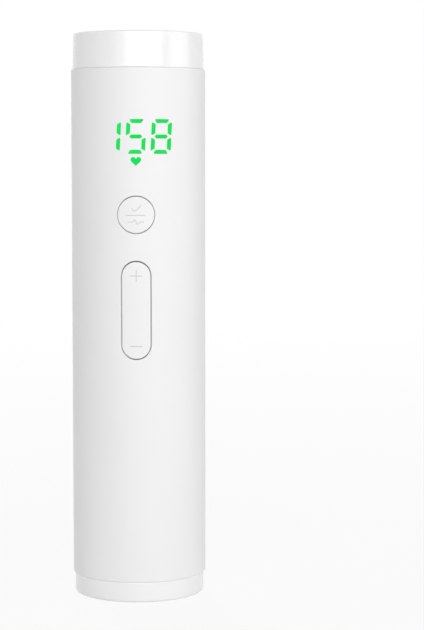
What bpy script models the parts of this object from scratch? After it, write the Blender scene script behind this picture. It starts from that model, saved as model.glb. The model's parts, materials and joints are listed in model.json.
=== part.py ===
"""A handheld fetal doppler: a round stick that stands on its probe face.

The lit display, the round button and the rocker face -Y. The battery door and the charging socket face +Y.
The origin is the middle of the probe face, and +Z runs up the stick to the speaker.
"""

import math

import bmesh
import bpy
from mathutils import Vector

MM = 0.001

# General fits
REST_GAP = 0.3 * MM
SOLDER_GAP = 0.1 * MM
PRESS_GAP = 0.2 * MM
RUNNING_GAP = 0.12 * MM
OVERRUN = 2.0 * MM
MERGE_WITHIN = 0.000001

# Roundness
ROUND_SIDES = 64
PART_SIDES = 32
SMALL_SIDES = 16
HOLE_SIDES = 10
EDGE_STEPS = 2
CORNER_STEPS = 4

# Body tube and its two caps
TOTAL_HEIGHT = 159.1 * MM
BODY_RADIUS = 19.0 * MM
WALL = 2.0 * MM
SEAM_GAP = 0.25 * MM
SPLIT_GAP = 0.3 * MM
BODY_EDGE = 0.3 * MM
LIP_STEP = 0.2 * MM
LIP_THICKNESS = 0.65 * MM
LIP_REACH = 1.2 * MM
PROBE_RING_HEIGHT = 5.55 * MM
PROBE_RING_STEP = 0.45 * MM
PROBE_EDGE = 0.8 * MM
TOP_RING_HEIGHT = 9.85 * MM
TOP_RING_STEP = 0.4 * MM
TOP_EDGE = 0.5 * MM

INNER_RADIUS = BODY_RADIUS - WALL
MID_WALL_RADIUS = BODY_RADIUS - WALL / 2
BODY_BASE = PROBE_RING_HEIGHT + SEAM_GAP
BODY_TOP = TOTAL_HEIGHT - TOP_RING_HEIGHT - SEAM_GAP
BODY_HEIGHT = BODY_TOP - BODY_BASE
SPIGOT_RADIUS = INNER_RADIUS - REST_GAP

# Controls and openings, each measured down from the top of the body tube
DISPLAY_DROP = 18.93 * MM
HEART_BELOW_DIGITS = 6.92 * MM
OK_DROP = 40.43 * MM
ROCKER_DROP = 66.85 * MM
USB_DROP = 15.97 * MM
DOOR_DROP = 21.85 * MM

DISPLAY_Z = BODY_TOP - DISPLAY_DROP
HEART_Z = DISPLAY_Z - HEART_BELOW_DIGITS
OK_Z = BODY_TOP - OK_DROP
ROCKER_Z = BODY_TOP - ROCKER_DROP
USB_Z = BODY_TOP - USB_DROP

# Lit digits, drawn as bars with slanted ends, and the heart under them
READING = "158"
DIGIT_PITCH_SHARE = 0.36684
DIGIT_PITCH = BODY_RADIUS * DIGIT_PITCH_SHARE
BAR_TO_MIDDLE = 2.2 * MM
BAR_TO_BAR = 4.21 * MM
BAR_WIDTH = 1.1 * MM
LEVEL_BAR_LONG = 3.66 * MM
LEVEL_BAR_SHORT = 2.25 * MM
UPRIGHT_BAR_LONG = 3.48 * MM
UPRIGHT_BAR_SHORT = 2.2 * MM
MIDDLE_BAR_LONG = 3.4 * MM
DIGIT_LEAN_SHARE = 0.05
HEART_WIDTH = 2.93 * MM
HEART_STEPS = 20
SLOT_CLEARANCE = 0.05 * MM
LIT_BARS = {
    "0": "abcdef",
    "1": "bc",
    "2": "abdeg",
    "3": "abcdg",
    "4": "bcfg",
    "5": "acdfg",
    "6": "acdefg",
    "7": "abc",
    "8": "abcdefg",
    "9": "abcdfg",
}

# Light guide and display module behind the front wall
GUIDE_BEHIND_FACE = 5.8 * MM
GUIDE_DEPTH = BODY_RADIUS - GUIDE_BEHIND_FACE
GUIDE_THICKNESS = 1.0 * MM
GUIDE_MARGIN = 0.6 * MM

# Main board, upright behind the front wall
BOARD_BEHIND_FACE = 9.6 * MM
BOARD_THICKNESS = 1.2 * MM
BOARD_SIDE_GAP = 0.66 * MM
BOARD_DEPTH = BODY_RADIUS - BOARD_BEHIND_FACE
BOARD_WIDTH = 2 * (math.sqrt(INNER_RADIUS**2 - BOARD_DEPTH**2) - BOARD_SIDE_GAP)
BOARD_TOP_DROP = 7.5 * MM
BOARD_FOOT_RISE = 24.2 * MM
BOARD_CORNER = 2.0 * MM
BOARD_TOP = BODY_TOP - BOARD_TOP_DROP
BOARD_FOOT = BODY_BASE + BOARD_FOOT_RISE
BOARD_BACK = BOARD_DEPTH - BOARD_THICKNESS

# Screws that hold the main board to bosses of the front shell
BOARD_SCREW_EDGE = 2.9 * MM
BOARD_SCREW_INSET = 2.6 * MM
BOARD_SCREW_ACROSS = BOARD_WIDTH / 2 - BOARD_SCREW_EDGE
BOARD_BOSS_RADIUS = 2.0 * MM
BOARD_SCREW_RADIUS = 0.75 * MM
BOARD_SCREW_HEAD_RADIUS = 1.6 * MM
BOARD_SCREW_HEAD_HEIGHT = 1.0 * MM
BOARD_SCREW_LENGTH = 3.8 * MM
BOARD_PILOT_DEPTH = 2.9 * MM

# Push switches on the main board
SWITCH_SIDE = 6.0 * MM
SWITCH_HEIGHT = 3.4 * MM
PLUNGER_RADIUS = 1.7 * MM
PLUNGER_RISE = 1.3 * MM
PLUNGER_ROOT = 1.5 * MM
PLUNGER_TRAVEL = 0.3 * MM
SWITCH_TOP = BOARD_DEPTH + SOLDER_GAP + SWITCH_HEIGHT
PLUNGER_TOP = SWITCH_TOP + PLUNGER_RISE

# Round button
OK_LINE_RADIUS = 5.15 * MM
BUTTON_GAP = 0.3 * MM
OK_FLANGE_WIDTH = 1.3 * MM
OK_STEM_RADIUS = 2.0 * MM
OK_STEM_LENGTH = 0.5 * MM
OK_HOLE_RADIUS = OK_LINE_RADIUS + BUTTON_GAP / 2
OK_RADIUS = OK_LINE_RADIUS - BUTTON_GAP / 2
OK_FLANGE_RADIUS = OK_RADIUS + OK_FLANGE_WIDTH
OK_STEM_END = PLUNGER_TOP + PRESS_GAP
OK_FLANGE_BACK = OK_STEM_END + OK_STEM_LENGTH

# Rocker with its pivot pin, and the lugs of the front shell that carry the pin
ROCKER_LINE_WIDTH = 8.2 * MM
ROCKER_LINE_LENGTH = 27.2 * MM
ROCKER_POST_OFFSET = 9.75 * MM
ROCKER_POST_RADIUS = 1.5 * MM
ROCKER_POST_LENGTH = 0.8 * MM
ROCKER_RIB_WIDTH = 6.0 * MM
ROCKER_RIB_HEIGHT = 2.8 * MM
PIVOT_RADIUS = 1.0 * MM
LUG_GAP = 0.35 * MM
LUG_THICKNESS = 1.4 * MM
LUG_HALF_HEIGHT = 2.2 * MM
LUG_BELOW_PIVOT = 1.6 * MM
ROCKER_WIDTH = ROCKER_LINE_WIDTH - BUTTON_GAP
ROCKER_LENGTH = ROCKER_LINE_LENGTH - BUTTON_GAP
ROCKER_HOLE_WIDTH = ROCKER_LINE_WIDTH + BUTTON_GAP
ROCKER_HOLE_LENGTH = ROCKER_LINE_LENGTH + BUTTON_GAP
ROCKER_POST_END = PLUNGER_TOP + PRESS_GAP
ROCKER_BACK = ROCKER_POST_END + ROCKER_POST_LENGTH
PIVOT_DEPTH = ROCKER_BACK - PIVOT_RADIUS / 2
LUG_INNER = ROCKER_HOLE_WIDTH / 2 + LUG_GAP
LUG_OUTER = LUG_INNER + LUG_THICKNESS

# Round cell
CELL_RADIUS_SHARE = 0.37368
CELL_LENGTH = 50.2 * MM
CELL_NUB_RADIUS = 2.75 * MM
CELL_NUB_HEIGHT = 1.0 * MM
CELL_EDGE = 0.4 * MM
CELL_RADIUS = BODY_RADIUS * CELL_RADIUS_SHARE

# Battery door in the rear shell
DOOR_BESIDE_CELL = 2.85 * MM
DOOR_PAST_CELL = 9.65 * MM
DOOR_LINE_WIDTH = 2 * (CELL_RADIUS + DOOR_BESIDE_CELL)
DOOR_LINE_HEIGHT = CELL_LENGTH + DOOR_PAST_CELL
DOOR_CORNER = 1.75 * MM
DOOR_GAP = 0.3 * MM
DOOR_THICKNESS = 1.8 * MM
NOTCH_WIDTH = 8.4 * MM
NOTCH_DROP = 1.05 * MM
NOTCH_DEPTH = 1.4 * MM
TAB_INNER = 3.0 * MM
TAB_WIDTH = 3.0 * MM
TAB_THICKNESS = 1.0 * MM
TAB_REACH = 2.5 * MM
TAB_ROOT = 1.5 * MM
TAB_LEG_INSET = 0.3 * MM
DOOR_TOP = BODY_TOP - DOOR_DROP
DOOR_FOOT = DOOR_TOP - DOOR_LINE_HEIGHT
DOOR_HINGE_Z = DOOR_FOOT + DOOR_GAP / 2
DOOR_INNER_RADIUS = BODY_RADIUS - DOOR_THICKNESS
TAB_OUT = math.sqrt(INNER_RADIUS**2 - (TAB_INNER + TAB_WIDTH) ** 2) - REST_GAP

# Battery bay, moulded in the rear shell behind the door
BAY_DOOR_GAP = 1.7 * MM
BAY_FLOOR_THICKNESS = 1.4 * MM
BAY_SIDE_GAP = 1.2 * MM
BAY_SIDE_THICKNESS = 1.2 * MM
BAY_RIM_THICKNESS = 1.28 * MM
BAY_RIM_LAP = 0.6 * MM
BAY_FOOT_THICKNESS = 1.4 * MM
BAY_FOOT_BELOW_TABS = 2.2 * MM
BAY_HEAD_THICKNESS = 2.8 * MM
BAY_ANCHOR_WIDTH = 1.0 * MM
BAY_ANCHOR_LAP = 0.3 * MM
BAY_ANCHOR_BELOW_RIM = 1.3 * MM
BAY_FOOT_CLEARANCE = 0.85 * MM
BAY_HEAD_CLEARANCE = 1.5 * MM
BAY_HALF_WIDTH = CELL_RADIUS + BAY_SIDE_GAP
BAY_OUTER_HALF_WIDTH = BAY_HALF_WIDTH + BAY_SIDE_THICKNESS
BAY_LOW = DOOR_FOOT + BAY_FOOT_CLEARANCE - DOOR_GAP / 2
BAY_HIGH = DOOR_TOP - BAY_HEAD_CLEARANCE + DOOR_GAP / 2
BAY_CLIP_RADIUS = DOOR_INNER_RADIUS - REST_GAP
DOOR_OPENING_HALF_WIDTH = (DOOR_LINE_WIDTH + DOOR_GAP) / 2
BAY_RIM_HALF_WIDTH = DOOR_OPENING_HALF_WIDTH + BAY_RIM_LAP
BAY_RIM_DEPTH = math.sqrt(BAY_CLIP_RADIUS**2 - BAY_RIM_HALF_WIDTH**2) - BAY_RIM_THICKNESS
BAY_FOOT_HEIGHT = TAB_OUT - BAY_FOOT_BELOW_TABS
CELL_DEPTH = DOOR_INNER_RADIUS - BAY_DOOR_GAP - CELL_RADIUS
BAY_FLOOR = CELL_DEPTH - CELL_RADIUS - REST_GAP

# Cell contacts and spring
CONTACT_THICKNESS = 0.4 * MM
CONTACT_EDGE = 2.1 * MM
CONTACT_ABOVE_FLOOR = 1.0 * MM
CONTACT_PAST_MIDDLE = 4.6 * MM
CONTACT_TAIL_WIDTH = 2.5 * MM
CONTACT_SLOT_CLEARANCE = 0.25 * MM
SPRING_WIRE_RADIUS = 0.35 * MM
SPRING_FOOT_EDGE = 2.5 * MM
SPRING_HEAD_EDGE = 3.9 * MM
SPRING_TURNS = 4
SPRING_POINTS_PER_TURN = 10
CELL_TOP = BAY_HIGH - 2 * REST_GAP - CONTACT_THICKNESS - SOLDER_GAP
CELL_BASE = CELL_TOP - CELL_LENGTH
LOW_CONTACT_Z = BAY_LOW + REST_GAP
HIGH_CONTACT_Z = BAY_HIGH - REST_GAP - CONTACT_THICKNESS
CONTACT_WIDTH = 2 * (CELL_RADIUS - CONTACT_EDGE)
CONTACT_LOW = BAY_FLOOR + CONTACT_ABOVE_FLOOR
CONTACT_HIGH = CELL_DEPTH + CONTACT_PAST_MIDDLE
SPRING_FOOT_RADIUS = CELL_RADIUS - SPRING_FOOT_EDGE
SPRING_HEAD_RADIUS = CELL_RADIUS - SPRING_HEAD_EDGE

# Screws that hold the two shells together, through the bay floor
CASE_BOSS_RADIUS = 2.4 * MM
CASE_BOSS_BELOW_FLOOR = 4.3 * MM
CASE_PILOT_BEHIND_FACE = 6.7 * MM
CASE_TIP_ROOM = 1.6 * MM
CASE_SCREW_RADIUS = 0.95 * MM
CASE_SCREW_HEAD_RADIUS = 2.0 * MM
CASE_SCREW_HEAD_HEIGHT = 1.3 * MM
CASE_SEAT_RADIUS = 3.2 * MM
CASE_SEAT_DEPTH = 2.2 * MM
CASE_HOLE_CLEARANCE = 0.3 * MM
PILOT_CLEARANCE = 0.1 * MM
GUIDE_FOOT = HEART_Z - HEART_WIDTH / 2 - GUIDE_MARGIN
CASE_SCREW_LOW_Z = (OK_Z - OK_FLANGE_RADIUS + ROCKER_Z + ROCKER_HOLE_LENGTH / 2) / 2
CASE_SCREW_HIGH_Z = (GUIDE_FOOT + OK_Z + OK_FLANGE_RADIUS) / 2
CASE_BOSS_END = CASE_BOSS_BELOW_FLOOR - BAY_FLOOR
CASE_PILOT_END = BODY_RADIUS - CASE_PILOT_BEHIND_FACE
CASE_SEAT_BACK = CASE_BOSS_END - REST_GAP
CASE_HEAD_SEAT = BAY_FLOOR - CASE_SEAT_DEPTH
CASE_SCREW_LENGTH = CASE_PILOT_END + CASE_HEAD_SEAT - CASE_TIP_ROOM

# Charging socket, in its slot
USB_SLOT_WIDTH = 9.2 * MM
USB_SLOT_HEIGHT = 3.16 * MM
USB_WIDTH = 8.94 * MM
USB_HEIGHT = 3.16 * MM
USB_LENGTH = 7.3 * MM
USB_WALL = 0.3 * MM
USB_LIP = 1.1 * MM
USB_INNER_GAP = 0.12 * MM
USB_BASE_LENGTH = 2.0 * MM
USB_TONGUE_WIDTH = 6.7 * MM
USB_TONGUE_HEIGHT = 0.7 * MM
USB_TONGUE_LENGTH = 4.3 * MM
USB_POCKET_DEPTH = BODY_RADIUS - USB_LIP
USB_FRONT = USB_POCKET_DEPTH - REST_GAP
USB_BACK = USB_FRONT - USB_LENGTH

# Charge board, level under the socket, and the ledges of the rear shell that carry it
CHARGE_THICKNESS = 1.0 * MM
CHARGE_WIDTH = 16.0 * MM
CHARGE_BEHIND_FACE = 4.5 * MM
CHARGE_TOP = USB_Z - USB_HEIGHT / 2 - SOLDER_GAP
CHARGE_LOW = CHARGE_TOP - CHARGE_THICKNESS
CHARGE_START = BOARD_BACK - REST_GAP
CHARGE_SCREW_ACROSS = 6.8 * MM
CHARGE_SCREW_INSET = 2.3 * MM
CHARGE_SCREW_HEAD_RADIUS = 1.4 * MM
CHARGE_SCREW_LENGTH = 2.4 * MM
CHARGE_PILOT_DEPTH = 1.7 * MM
LEDGE_INNER = 5.2 * MM
LEDGE_OUTER = 8.9 * MM
LEDGE_BEHIND_FACE = 8.1 * MM
LEDGE_HEIGHT = 2.2 * MM
CHARGE_END = BODY_RADIUS - CHARGE_BEHIND_FACE
CHARGE_SCREW_DEPTH = CHARGE_END - CHARGE_SCREW_INSET
LEDGE_START = BODY_RADIUS - LEDGE_BEHIND_FACE
LEDGE_TOP = CHARGE_LOW - REST_GAP

# Chips and sockets on the boards: width, height, thickness
PROCESSOR_SIZE = (10.0 * MM, 10.0 * MM, 1.4 * MM)
ULTRASOUND_SIZE = (7.0 * MM, 7.0 * MM, 1.0 * MM)
AMPLIFIER_SIZE = (5.0 * MM, 4.0 * MM, 1.2 * MM)
QUARTZ_SIZE = (3.2 * MM, 5.0 * MM, 1.0 * MM)
PROBE_SOCKET_SIZE = (8.0 * MM, 5.0 * MM, 3.5 * MM)
HEADER_SIZE = (10.0 * MM, 2.5 * MM, 2.5 * MM)
CHARGE_CHIP_SIDE = 4.0 * MM
CHARGE_CHIP_HEIGHT = 1.0 * MM
CHARGE_CHIP_DEPTH = 3.0 * MM
PROCESSOR_BELOW_OK = 23.0 * MM
ULTRASOUND_RISE = 16.0 * MM
QUARTZ_RISE = 30.0 * MM
QUARTZ_EDGE = 6.5 * MM
AMPLIFIER_INSET = 20.0 * MM
AMPLIFIER_EDGE = 5.0 * MM
PROBE_SOCKET_RISE = 1.5 * MM
QUARTZ_ACROSS = BOARD_WIDTH / 2 - QUARTZ_EDGE
AMPLIFIER_ACROSS = BOARD_WIDTH / 2 - AMPLIFIER_EDGE

# Top cap with the speaker grille in its flat top
TOP_FACE_THICKNESS = 1.6 * MM
TOP_SPIGOT_LENGTH = 6.5 * MM
TOP_SPIGOT_WALL = 1.6 * MM
GRILLE_PITCH = 4.0 * MM
GRILLE_HOLE_RADIUS = 0.8 * MM
GRILLE_RINGS = 2
GRILLE_PER_RING = 6
TOP_BORE_RADIUS = SPIGOT_RADIUS - TOP_SPIGOT_WALL
TOP_RING_RADIUS = BODY_RADIUS - TOP_RING_STEP
TOP_CAP_SEAM = TOTAL_HEIGHT - TOP_RING_HEIGHT
TOP_CEILING = TOTAL_HEIGHT - TOP_FACE_THICKNESS

# Speaker under the grille
SPEAKER_RADIUS = TOP_BORE_RADIUS - REST_GAP
GASKET_THICKNESS = 0.6 * MM
GASKET_WIDTH = 2.0 * MM
FRAME_FLANGE_THICKNESS = 0.8 * MM
FRAME_HEIGHT = 4.5 * MM
FRAME_FLANGE_WIDTH = 2.6 * MM
FRAME_WALL = 0.8 * MM
MAGNET_RADIUS = 7.5 * MM
MAGNET_HEIGHT = 3.5 * MM
MAGNET_EDGE = 0.4 * MM
CONE_THICKNESS = 0.4 * MM
CONE_DIP = 2.0 * MM
CONE_DOME_RADIUS = 4.5 * MM
CONE_DOME_RISE = 1.2 * MM
CLAMP_HEIGHT = 3.0 * MM
FRAME_TOP = TOP_CEILING - 2 * REST_GAP - GASKET_THICKNESS
FRAME_LOW = FRAME_TOP - FRAME_HEIGHT
FRAME_BASKET_RADIUS = SPEAKER_RADIUS - FRAME_FLANGE_WIDTH
CONE_RADIUS = FRAME_BASKET_RADIUS - FRAME_WALL - REST_GAP

# Probe cap: the flat face that rests on the skin, and the spigot that closes the tube
PROBE_FACE_THICKNESS = 2.0 * MM
PROBE_SPIGOT_LENGTH = 9.7 * MM
PROBE_SPIGOT_WALL = 2.7 * MM
PROBE_BORE_RADIUS = SPIGOT_RADIUS - PROBE_SPIGOT_WALL
PROBE_RADIUS = BODY_RADIUS - PROBE_RING_STEP
PROBE_SPIGOT_TOP = BODY_BASE + PROBE_SPIGOT_LENGTH
GROOVE_RISE = 3.4 * MM
GROOVE_HEIGHT = 1.6 * MM
GROOVE_DEPTH = 1.15 * MM
SEAL_RADIUS = 0.6 * MM
SEAL_SIDES = 6

# Crystals, backing and shield in the probe cap
CRYSTAL_RADIUS = 9.0 * MM
CRYSTAL_THICKNESS = 1.0 * MM
CRYSTAL_SPLIT = 1.0 * MM
BACKING_THICKNESS = 5.0 * MM
SHIELD_WALL = 0.5 * MM
SHIELD_HOLE_RADIUS = 1.0 * MM
CRYSTAL_LOW = PROBE_FACE_THICKNESS + SOLDER_GAP
BACKING_LOW = CRYSTAL_LOW + CRYSTAL_THICKNESS + REST_GAP
BACKING_TOP = BACKING_LOW + BACKING_THICKNESS
SHIELD_RADIUS = PROBE_BORE_RADIUS - REST_GAP
SHIELD_LOW = PROBE_FACE_THICKNESS + REST_GAP
SHIELD_CEILING = BACKING_TOP + REST_GAP
BACKING_RADIUS = SHIELD_RADIUS - SHIELD_WALL - REST_GAP

# Leads
LEAD_RADIUS = 0.6 * MM
LEAD_ACROSS = 3.0 * MM
LEAD_SWEEP_SHARES = ((0.0, 0.0), (0.12, 0.0), (0.35, 0.18), (0.65, 0.82), (0.88, 1.0), (1.0, 1.0))
LEAD_STEPS = 2
LEAD_ROUNDNESS = 2
SPEAKER_LEAD_DEPTH = (MAGNET_RADIUS + FRAME_BASKET_RADIUS) / 2

# Finishes: colour, roughness, metallic
SATIN_WHITE = ((0.90, 0.90, 0.90), 0.45, 0.0)
GLOSS_WHITE = ((0.93, 0.93, 0.93), 0.12, 0.0)
LIT_GREEN = ((0.01, 0.75, 0.14), 0.35, 0.0)
BOARD_GREEN = ((0.02, 0.20, 0.09), 0.5, 0.0)
CHIP_BLACK = ((0.02, 0.02, 0.02), 0.5, 0.0)
DARK_PLASTIC = ((0.04, 0.035, 0.035), 0.55, 0.0)
STEEL = ((0.60, 0.60, 0.62), 0.3, 1.0)
DARK_STEEL = ((0.08, 0.05, 0.05), 0.4, 1.0)
NICKEL = ((0.70, 0.67, 0.60), 0.28, 1.0)
CELL_JACKET = ((0.10, 0.25, 0.55), 0.35, 0.0)
GREY_FELT = ((0.15, 0.15, 0.16), 0.9, 0.0)
CONE_PAPER = ((0.06, 0.06, 0.07), 0.8, 0.0)
CERAMIC = ((0.75, 0.68, 0.52), 0.5, 0.0)
BACKING_RUBBER = ((0.22, 0.10, 0.07), 0.85, 0.0)
SEAL_RUBBER = ((0.03, 0.03, 0.03), 0.7, 0.0)
COPPER = ((0.72, 0.38, 0.22), 0.35, 1.0)
LEAD_RED = ((0.55, 0.04, 0.03), 0.5, 0.0)
LEAD_GREY = ((0.35, 0.35, 0.36), 0.5, 0.0)


def clear_scene():
    for item in list(bpy.data.objects):
        bpy.data.objects.remove(item)


def new_collection(name):
    made = bpy.data.collections.new(name)
    bpy.context.scene.collection.children.link(made)
    return made


clear_scene()
PARTS = new_collection("fetal_doppler")
CUTTERS = new_collection("cutters")


def finish_of(name, look):
    colour, roughness, metallic = look
    finish = bpy.data.materials.new(name + "_finish")
    finish.use_nodes = True
    surface = finish.node_tree.nodes["Principled BSDF"]
    surface.inputs["Base Color"].default_value = (*colour, 1.0)
    surface.inputs["Roughness"].default_value = roughness
    surface.inputs["Metallic"].default_value = metallic
    return finish


def add_object(name, data, look):
    """A piece of the doppler, or with no look a cutter or other helper that never renders."""
    item = bpy.data.objects.new(name, data)
    if look is None:
        CUTTERS.objects.link(item)
        item.hide_render = True
        item.display_type = "WIRE"
    else:
        PARTS.objects.link(item)
        data.materials.append(finish_of(name, look))
    return item


# Shapes


def block(name, look, across, depth, height):
    """A box between two limits on X, on Y and on Z."""
    limits = (across, depth, height)
    shape = bmesh.new()
    bmesh.ops.create_cube(shape, size=1.0)
    bmesh.ops.scale(shape, vec=[high - low for low, high in limits], verts=shape.verts)
    mesh = bpy.data.meshes.new(name)
    shape.to_mesh(mesh)
    shape.free()
    item = add_object(name, mesh, look)
    item.location = [(low + high) / 2 for low, high in limits]
    return item


def rod(name, look, radius, start, end, sides):
    """A round bar from one point to another."""
    span = Vector(end) - Vector(start)
    shape = bmesh.new()
    bmesh.ops.create_cone(
        shape, cap_ends=True, segments=sides, radius1=radius, radius2=radius, depth=span.length
    )
    mesh = bpy.data.meshes.new(name)
    shape.to_mesh(mesh)
    shape.free()
    mesh.shade_smooth()
    mesh.set_sharp_from_angle(angle=math.radians(40))
    item = add_object(name, mesh, look)
    item.location = (Vector(start) + Vector(end)) / 2
    item.rotation_euler = span.to_track_quat("Z", "Y").to_euler()
    return item


def turned(name, look, outline, sides, place, ring=False):
    """An outline of (radius, height) points turned about the upright axis through its place."""
    count = len(outline)
    edges = [(i, i + 1) for i in range(count - 1)]
    if ring:
        edges.append((count - 1, 0))
    mesh = bpy.data.meshes.new(name)
    mesh.from_pydata([(radius, 0, height) for radius, height in outline], edges, [])
    item = add_object(name, mesh, look)
    turn = item.modifiers.new("turn", "SCREW")
    turn.steps = sides
    turn.render_steps = sides
    turn.use_merge_vertices = True
    turn.merge_threshold = MERGE_WITHIN
    item.location = place
    return item


def plate(name, look, outlines, thickness, place, upright=False):
    """A flat piece of even thickness. Outlines inside the first one are holes. Upright, it faces -Y."""
    curve = bpy.data.curves.new(name, "CURVE")
    curve.dimensions = "2D"
    curve.fill_mode = "BOTH"
    curve.extrude = thickness / 2
    for outline in outlines:
        spline = curve.splines.new("POLY")
        spline.points.add(len(outline) - 1)
        for point, (across, up) in zip(spline.points, outline):
            point.co = (across, up, 0, 1)
        spline.use_cyclic_u = True
    guide = bpy.data.objects.new(name + "_outline", curve)
    bpy.context.scene.collection.objects.link(guide)
    guide.location = place
    if upright:
        guide.rotation_euler.x = math.pi / 2
    bpy.context.view_layer.update()
    graph = bpy.context.evaluated_depsgraph_get()
    mesh = bpy.data.meshes.new_from_object(guide.evaluated_get(graph))
    mesh.materials.clear()
    shape = bmesh.new()
    shape.from_mesh(mesh)
    bmesh.ops.remove_doubles(shape, verts=shape.verts, dist=MERGE_WITHIN)
    bmesh.ops.recalc_face_normals(shape, faces=shape.faces)
    shape.to_mesh(mesh)
    shape.free()
    item = add_object(name, mesh, look)
    item.matrix_world = guide.matrix_world.copy()
    bpy.data.objects.remove(guide)
    return item


def wire(name, look, points, radius, roundness):
    """A round wire along a list of points."""
    curve = bpy.data.curves.new(name, "CURVE")
    curve.dimensions = "3D"
    curve.bevel_depth = radius
    curve.bevel_resolution = roundness
    curve.use_fill_caps = True
    spline = curve.splines.new("POLY")
    spline.points.add(len(points) - 1)
    for point, place in zip(spline.points, points):
        point.co = (*place, 1)
    return add_object(name, curve, look)


def combine(item, other, operation, solver="EXACT"):
    step = item.modifiers.new(other.name, "BOOLEAN")
    step.object = other
    step.operation = operation
    step.solver = solver


def join(item, *others):
    for other in others:
        combine(item, other, "UNION")


def cut(item, *others):
    for other in others:
        combine(item, other, "DIFFERENCE")


def cut_fine(item, other):
    """A cut whose corners lie on the edges between the facets, which the exact solver leaves open."""
    combine(item, other, "DIFFERENCE", "MANIFOLD")


def keep_inside(item, other):
    combine(item, other, "INTERSECT")


def hang(name, place, *items):
    """Puts a moving piece under an empty on its joint's axis."""
    joint = bpy.data.objects.new(name, None)
    PARTS.objects.link(joint)
    joint.location = place
    joint.empty_display_size = OVERRUN
    bpy.context.view_layer.update()
    for item in items:
        item.parent = joint
        item.matrix_parent_inverse = joint.matrix_world.inverted()


# Outlines


def arc(centre, radius, start, end, steps):
    """Points along an arc, both ends included. The angles are in degrees."""
    angles = [math.radians(start + (end - start) * i / steps) for i in range(steps + 1)]
    return [(centre[0] + radius * math.cos(a), centre[1] + radius * math.sin(a)) for a in angles]


def circle(centre, radius, sides):
    return arc(centre, radius, 0, 360, sides)[:-1]


def rounded_rectangle(width, height, radius, steps):
    across = width / 2 - radius
    up = height / 2 - radius
    corners = ((across, up, 0), (-across, up, 90), (-across, -up, 180), (across, -up, 270))
    points = []
    for u, v, start in corners:
        points += arc((u, v), radius, start, start + 90, steps)
    return [p for i, p in enumerate(points) if math.dist(p, points[i - 1]) > MERGE_WITHIN]


def ring_outline(inner, outer, height, edge):
    """Section of the body tube, down its outer side and up its bore."""
    top = arc((outer - edge, height - edge), edge, 90, 0, EDGE_STEPS)
    foot = arc((outer - edge, edge), edge, 0, -90, EDGE_STEPS)
    return [(inner, height), *top, *foot, (inner, 0)]


def round_bar(name, radius):
    """A helper as round as the body, used to give a piece the body's curve."""
    return rod(name, None, radius, (0, 0, -OVERRUN), (0, 0, TOTAL_HEIGHT + OVERRUN), ROUND_SIDES)


def front_depth(half_width, radius):
    """Distance from the axis to the chord of this half width in this radius."""
    return math.sqrt(radius**2 - half_width**2)


# Lit digits and heart


def bar_outline(outward, middle, long_side, short_side, grow):
    """A bar with slanted ends. Its long side faces outward, an angle in degrees."""
    angle = math.radians(outward)
    out = Vector((math.cos(angle), math.sin(angle)))
    along = Vector((-out.y, out.x))
    half = BAR_WIDTH / 2 + grow
    corners = (
        (half, long_side / 2),
        (half, -long_side / 2),
        (-half, -short_side / 2),
        (-half, short_side / 2),
    )
    stretch = [(n, t + math.copysign(grow, t)) for n, t in corners]
    return [middle + out * n + along * t for n, t in stretch]


def middle_bar_outline(grow):
    half = BAR_WIDTH / 2 + grow
    flat = LEVEL_BAR_SHORT / 2
    tip = MIDDLE_BAR_LONG / 2 + grow
    points = ((-tip, 0), (-flat, -half), (flat, -half), (tip, 0), (flat, half), (-flat, half))
    return [Vector(point) for point in points]


def digit_outlines(digit, grow):
    level = (LEVEL_BAR_LONG, LEVEL_BAR_SHORT, grow)
    upright = (UPRIGHT_BAR_LONG, UPRIGHT_BAR_SHORT, grow)
    half_way = BAR_TO_BAR / 2
    bars = {
        "a": lambda: bar_outline(90, Vector((0, BAR_TO_BAR)), *level),
        "b": lambda: bar_outline(0, Vector((BAR_TO_MIDDLE, half_way)), *upright),
        "c": lambda: bar_outline(0, Vector((BAR_TO_MIDDLE, -half_way)), *upright),
        "d": lambda: bar_outline(270, Vector((0, -BAR_TO_BAR)), *level),
        "e": lambda: bar_outline(180, Vector((-BAR_TO_MIDDLE, -half_way)), *upright),
        "f": lambda: bar_outline(180, Vector((-BAR_TO_MIDDLE, half_way)), *upright),
        "g": lambda: middle_bar_outline(grow),
    }
    return [bars[letter]() for letter in LIT_BARS[digit]]


def heart_outline(grow):
    """A heart by formula, 32 units wide, with its middle 2.5 units under its origin."""
    unit_span = 32
    unit_middle = -2.5
    scale = (HEART_WIDTH + 2 * grow) / unit_span
    points = []
    for i in range(HEART_STEPS):
        t = 2 * math.pi * i / HEART_STEPS
        across = 16 * math.sin(t) ** 3
        up = 13 * math.cos(t) - 5 * math.cos(2 * t) - 2 * math.cos(3 * t) - math.cos(4 * t)
        points.append((scale * across, scale * (up - unit_middle) - HEART_BELOW_DIGITS))
    return points


def lit_outlines(grow):
    """Every lit bar and the heart, about the middle of the display."""
    found = [heart_outline(grow)]
    first = -(len(READING) - 1) / 2
    for place, digit in enumerate(READING):
        shift = (first + place) * DIGIT_PITCH
        for outline in digit_outlines(digit, grow):
            found.append([(u + shift + v * DIGIT_LEAN_SHARE, v) for u, v in outline])
    return found


def lit_prisms(name, grow, inner_depth):
    """The lit bars and the heart as prisms, from inside the body to past its front."""
    outer_depth = BODY_RADIUS + OVERRUN
    middle = (0, -(inner_depth + outer_depth) / 2, DISPLAY_Z)
    return plate(name, None, lit_outlines(grow), outer_depth - inner_depth, middle, upright=True)


def front_prism(name, look, outline, z, back_depth):
    """An outline extruded from a depth inside the body to past its front."""
    outer_depth = BODY_RADIUS + OVERRUN
    middle = (0, -(back_depth + outer_depth) / 2, z)
    return plate(name, look, [outline], outer_depth - back_depth, middle, upright=True)


# Front shell


def case_screw_heights():
    return (CASE_SCREW_LOW_Z, CASE_SCREW_HIGH_Z)


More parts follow.
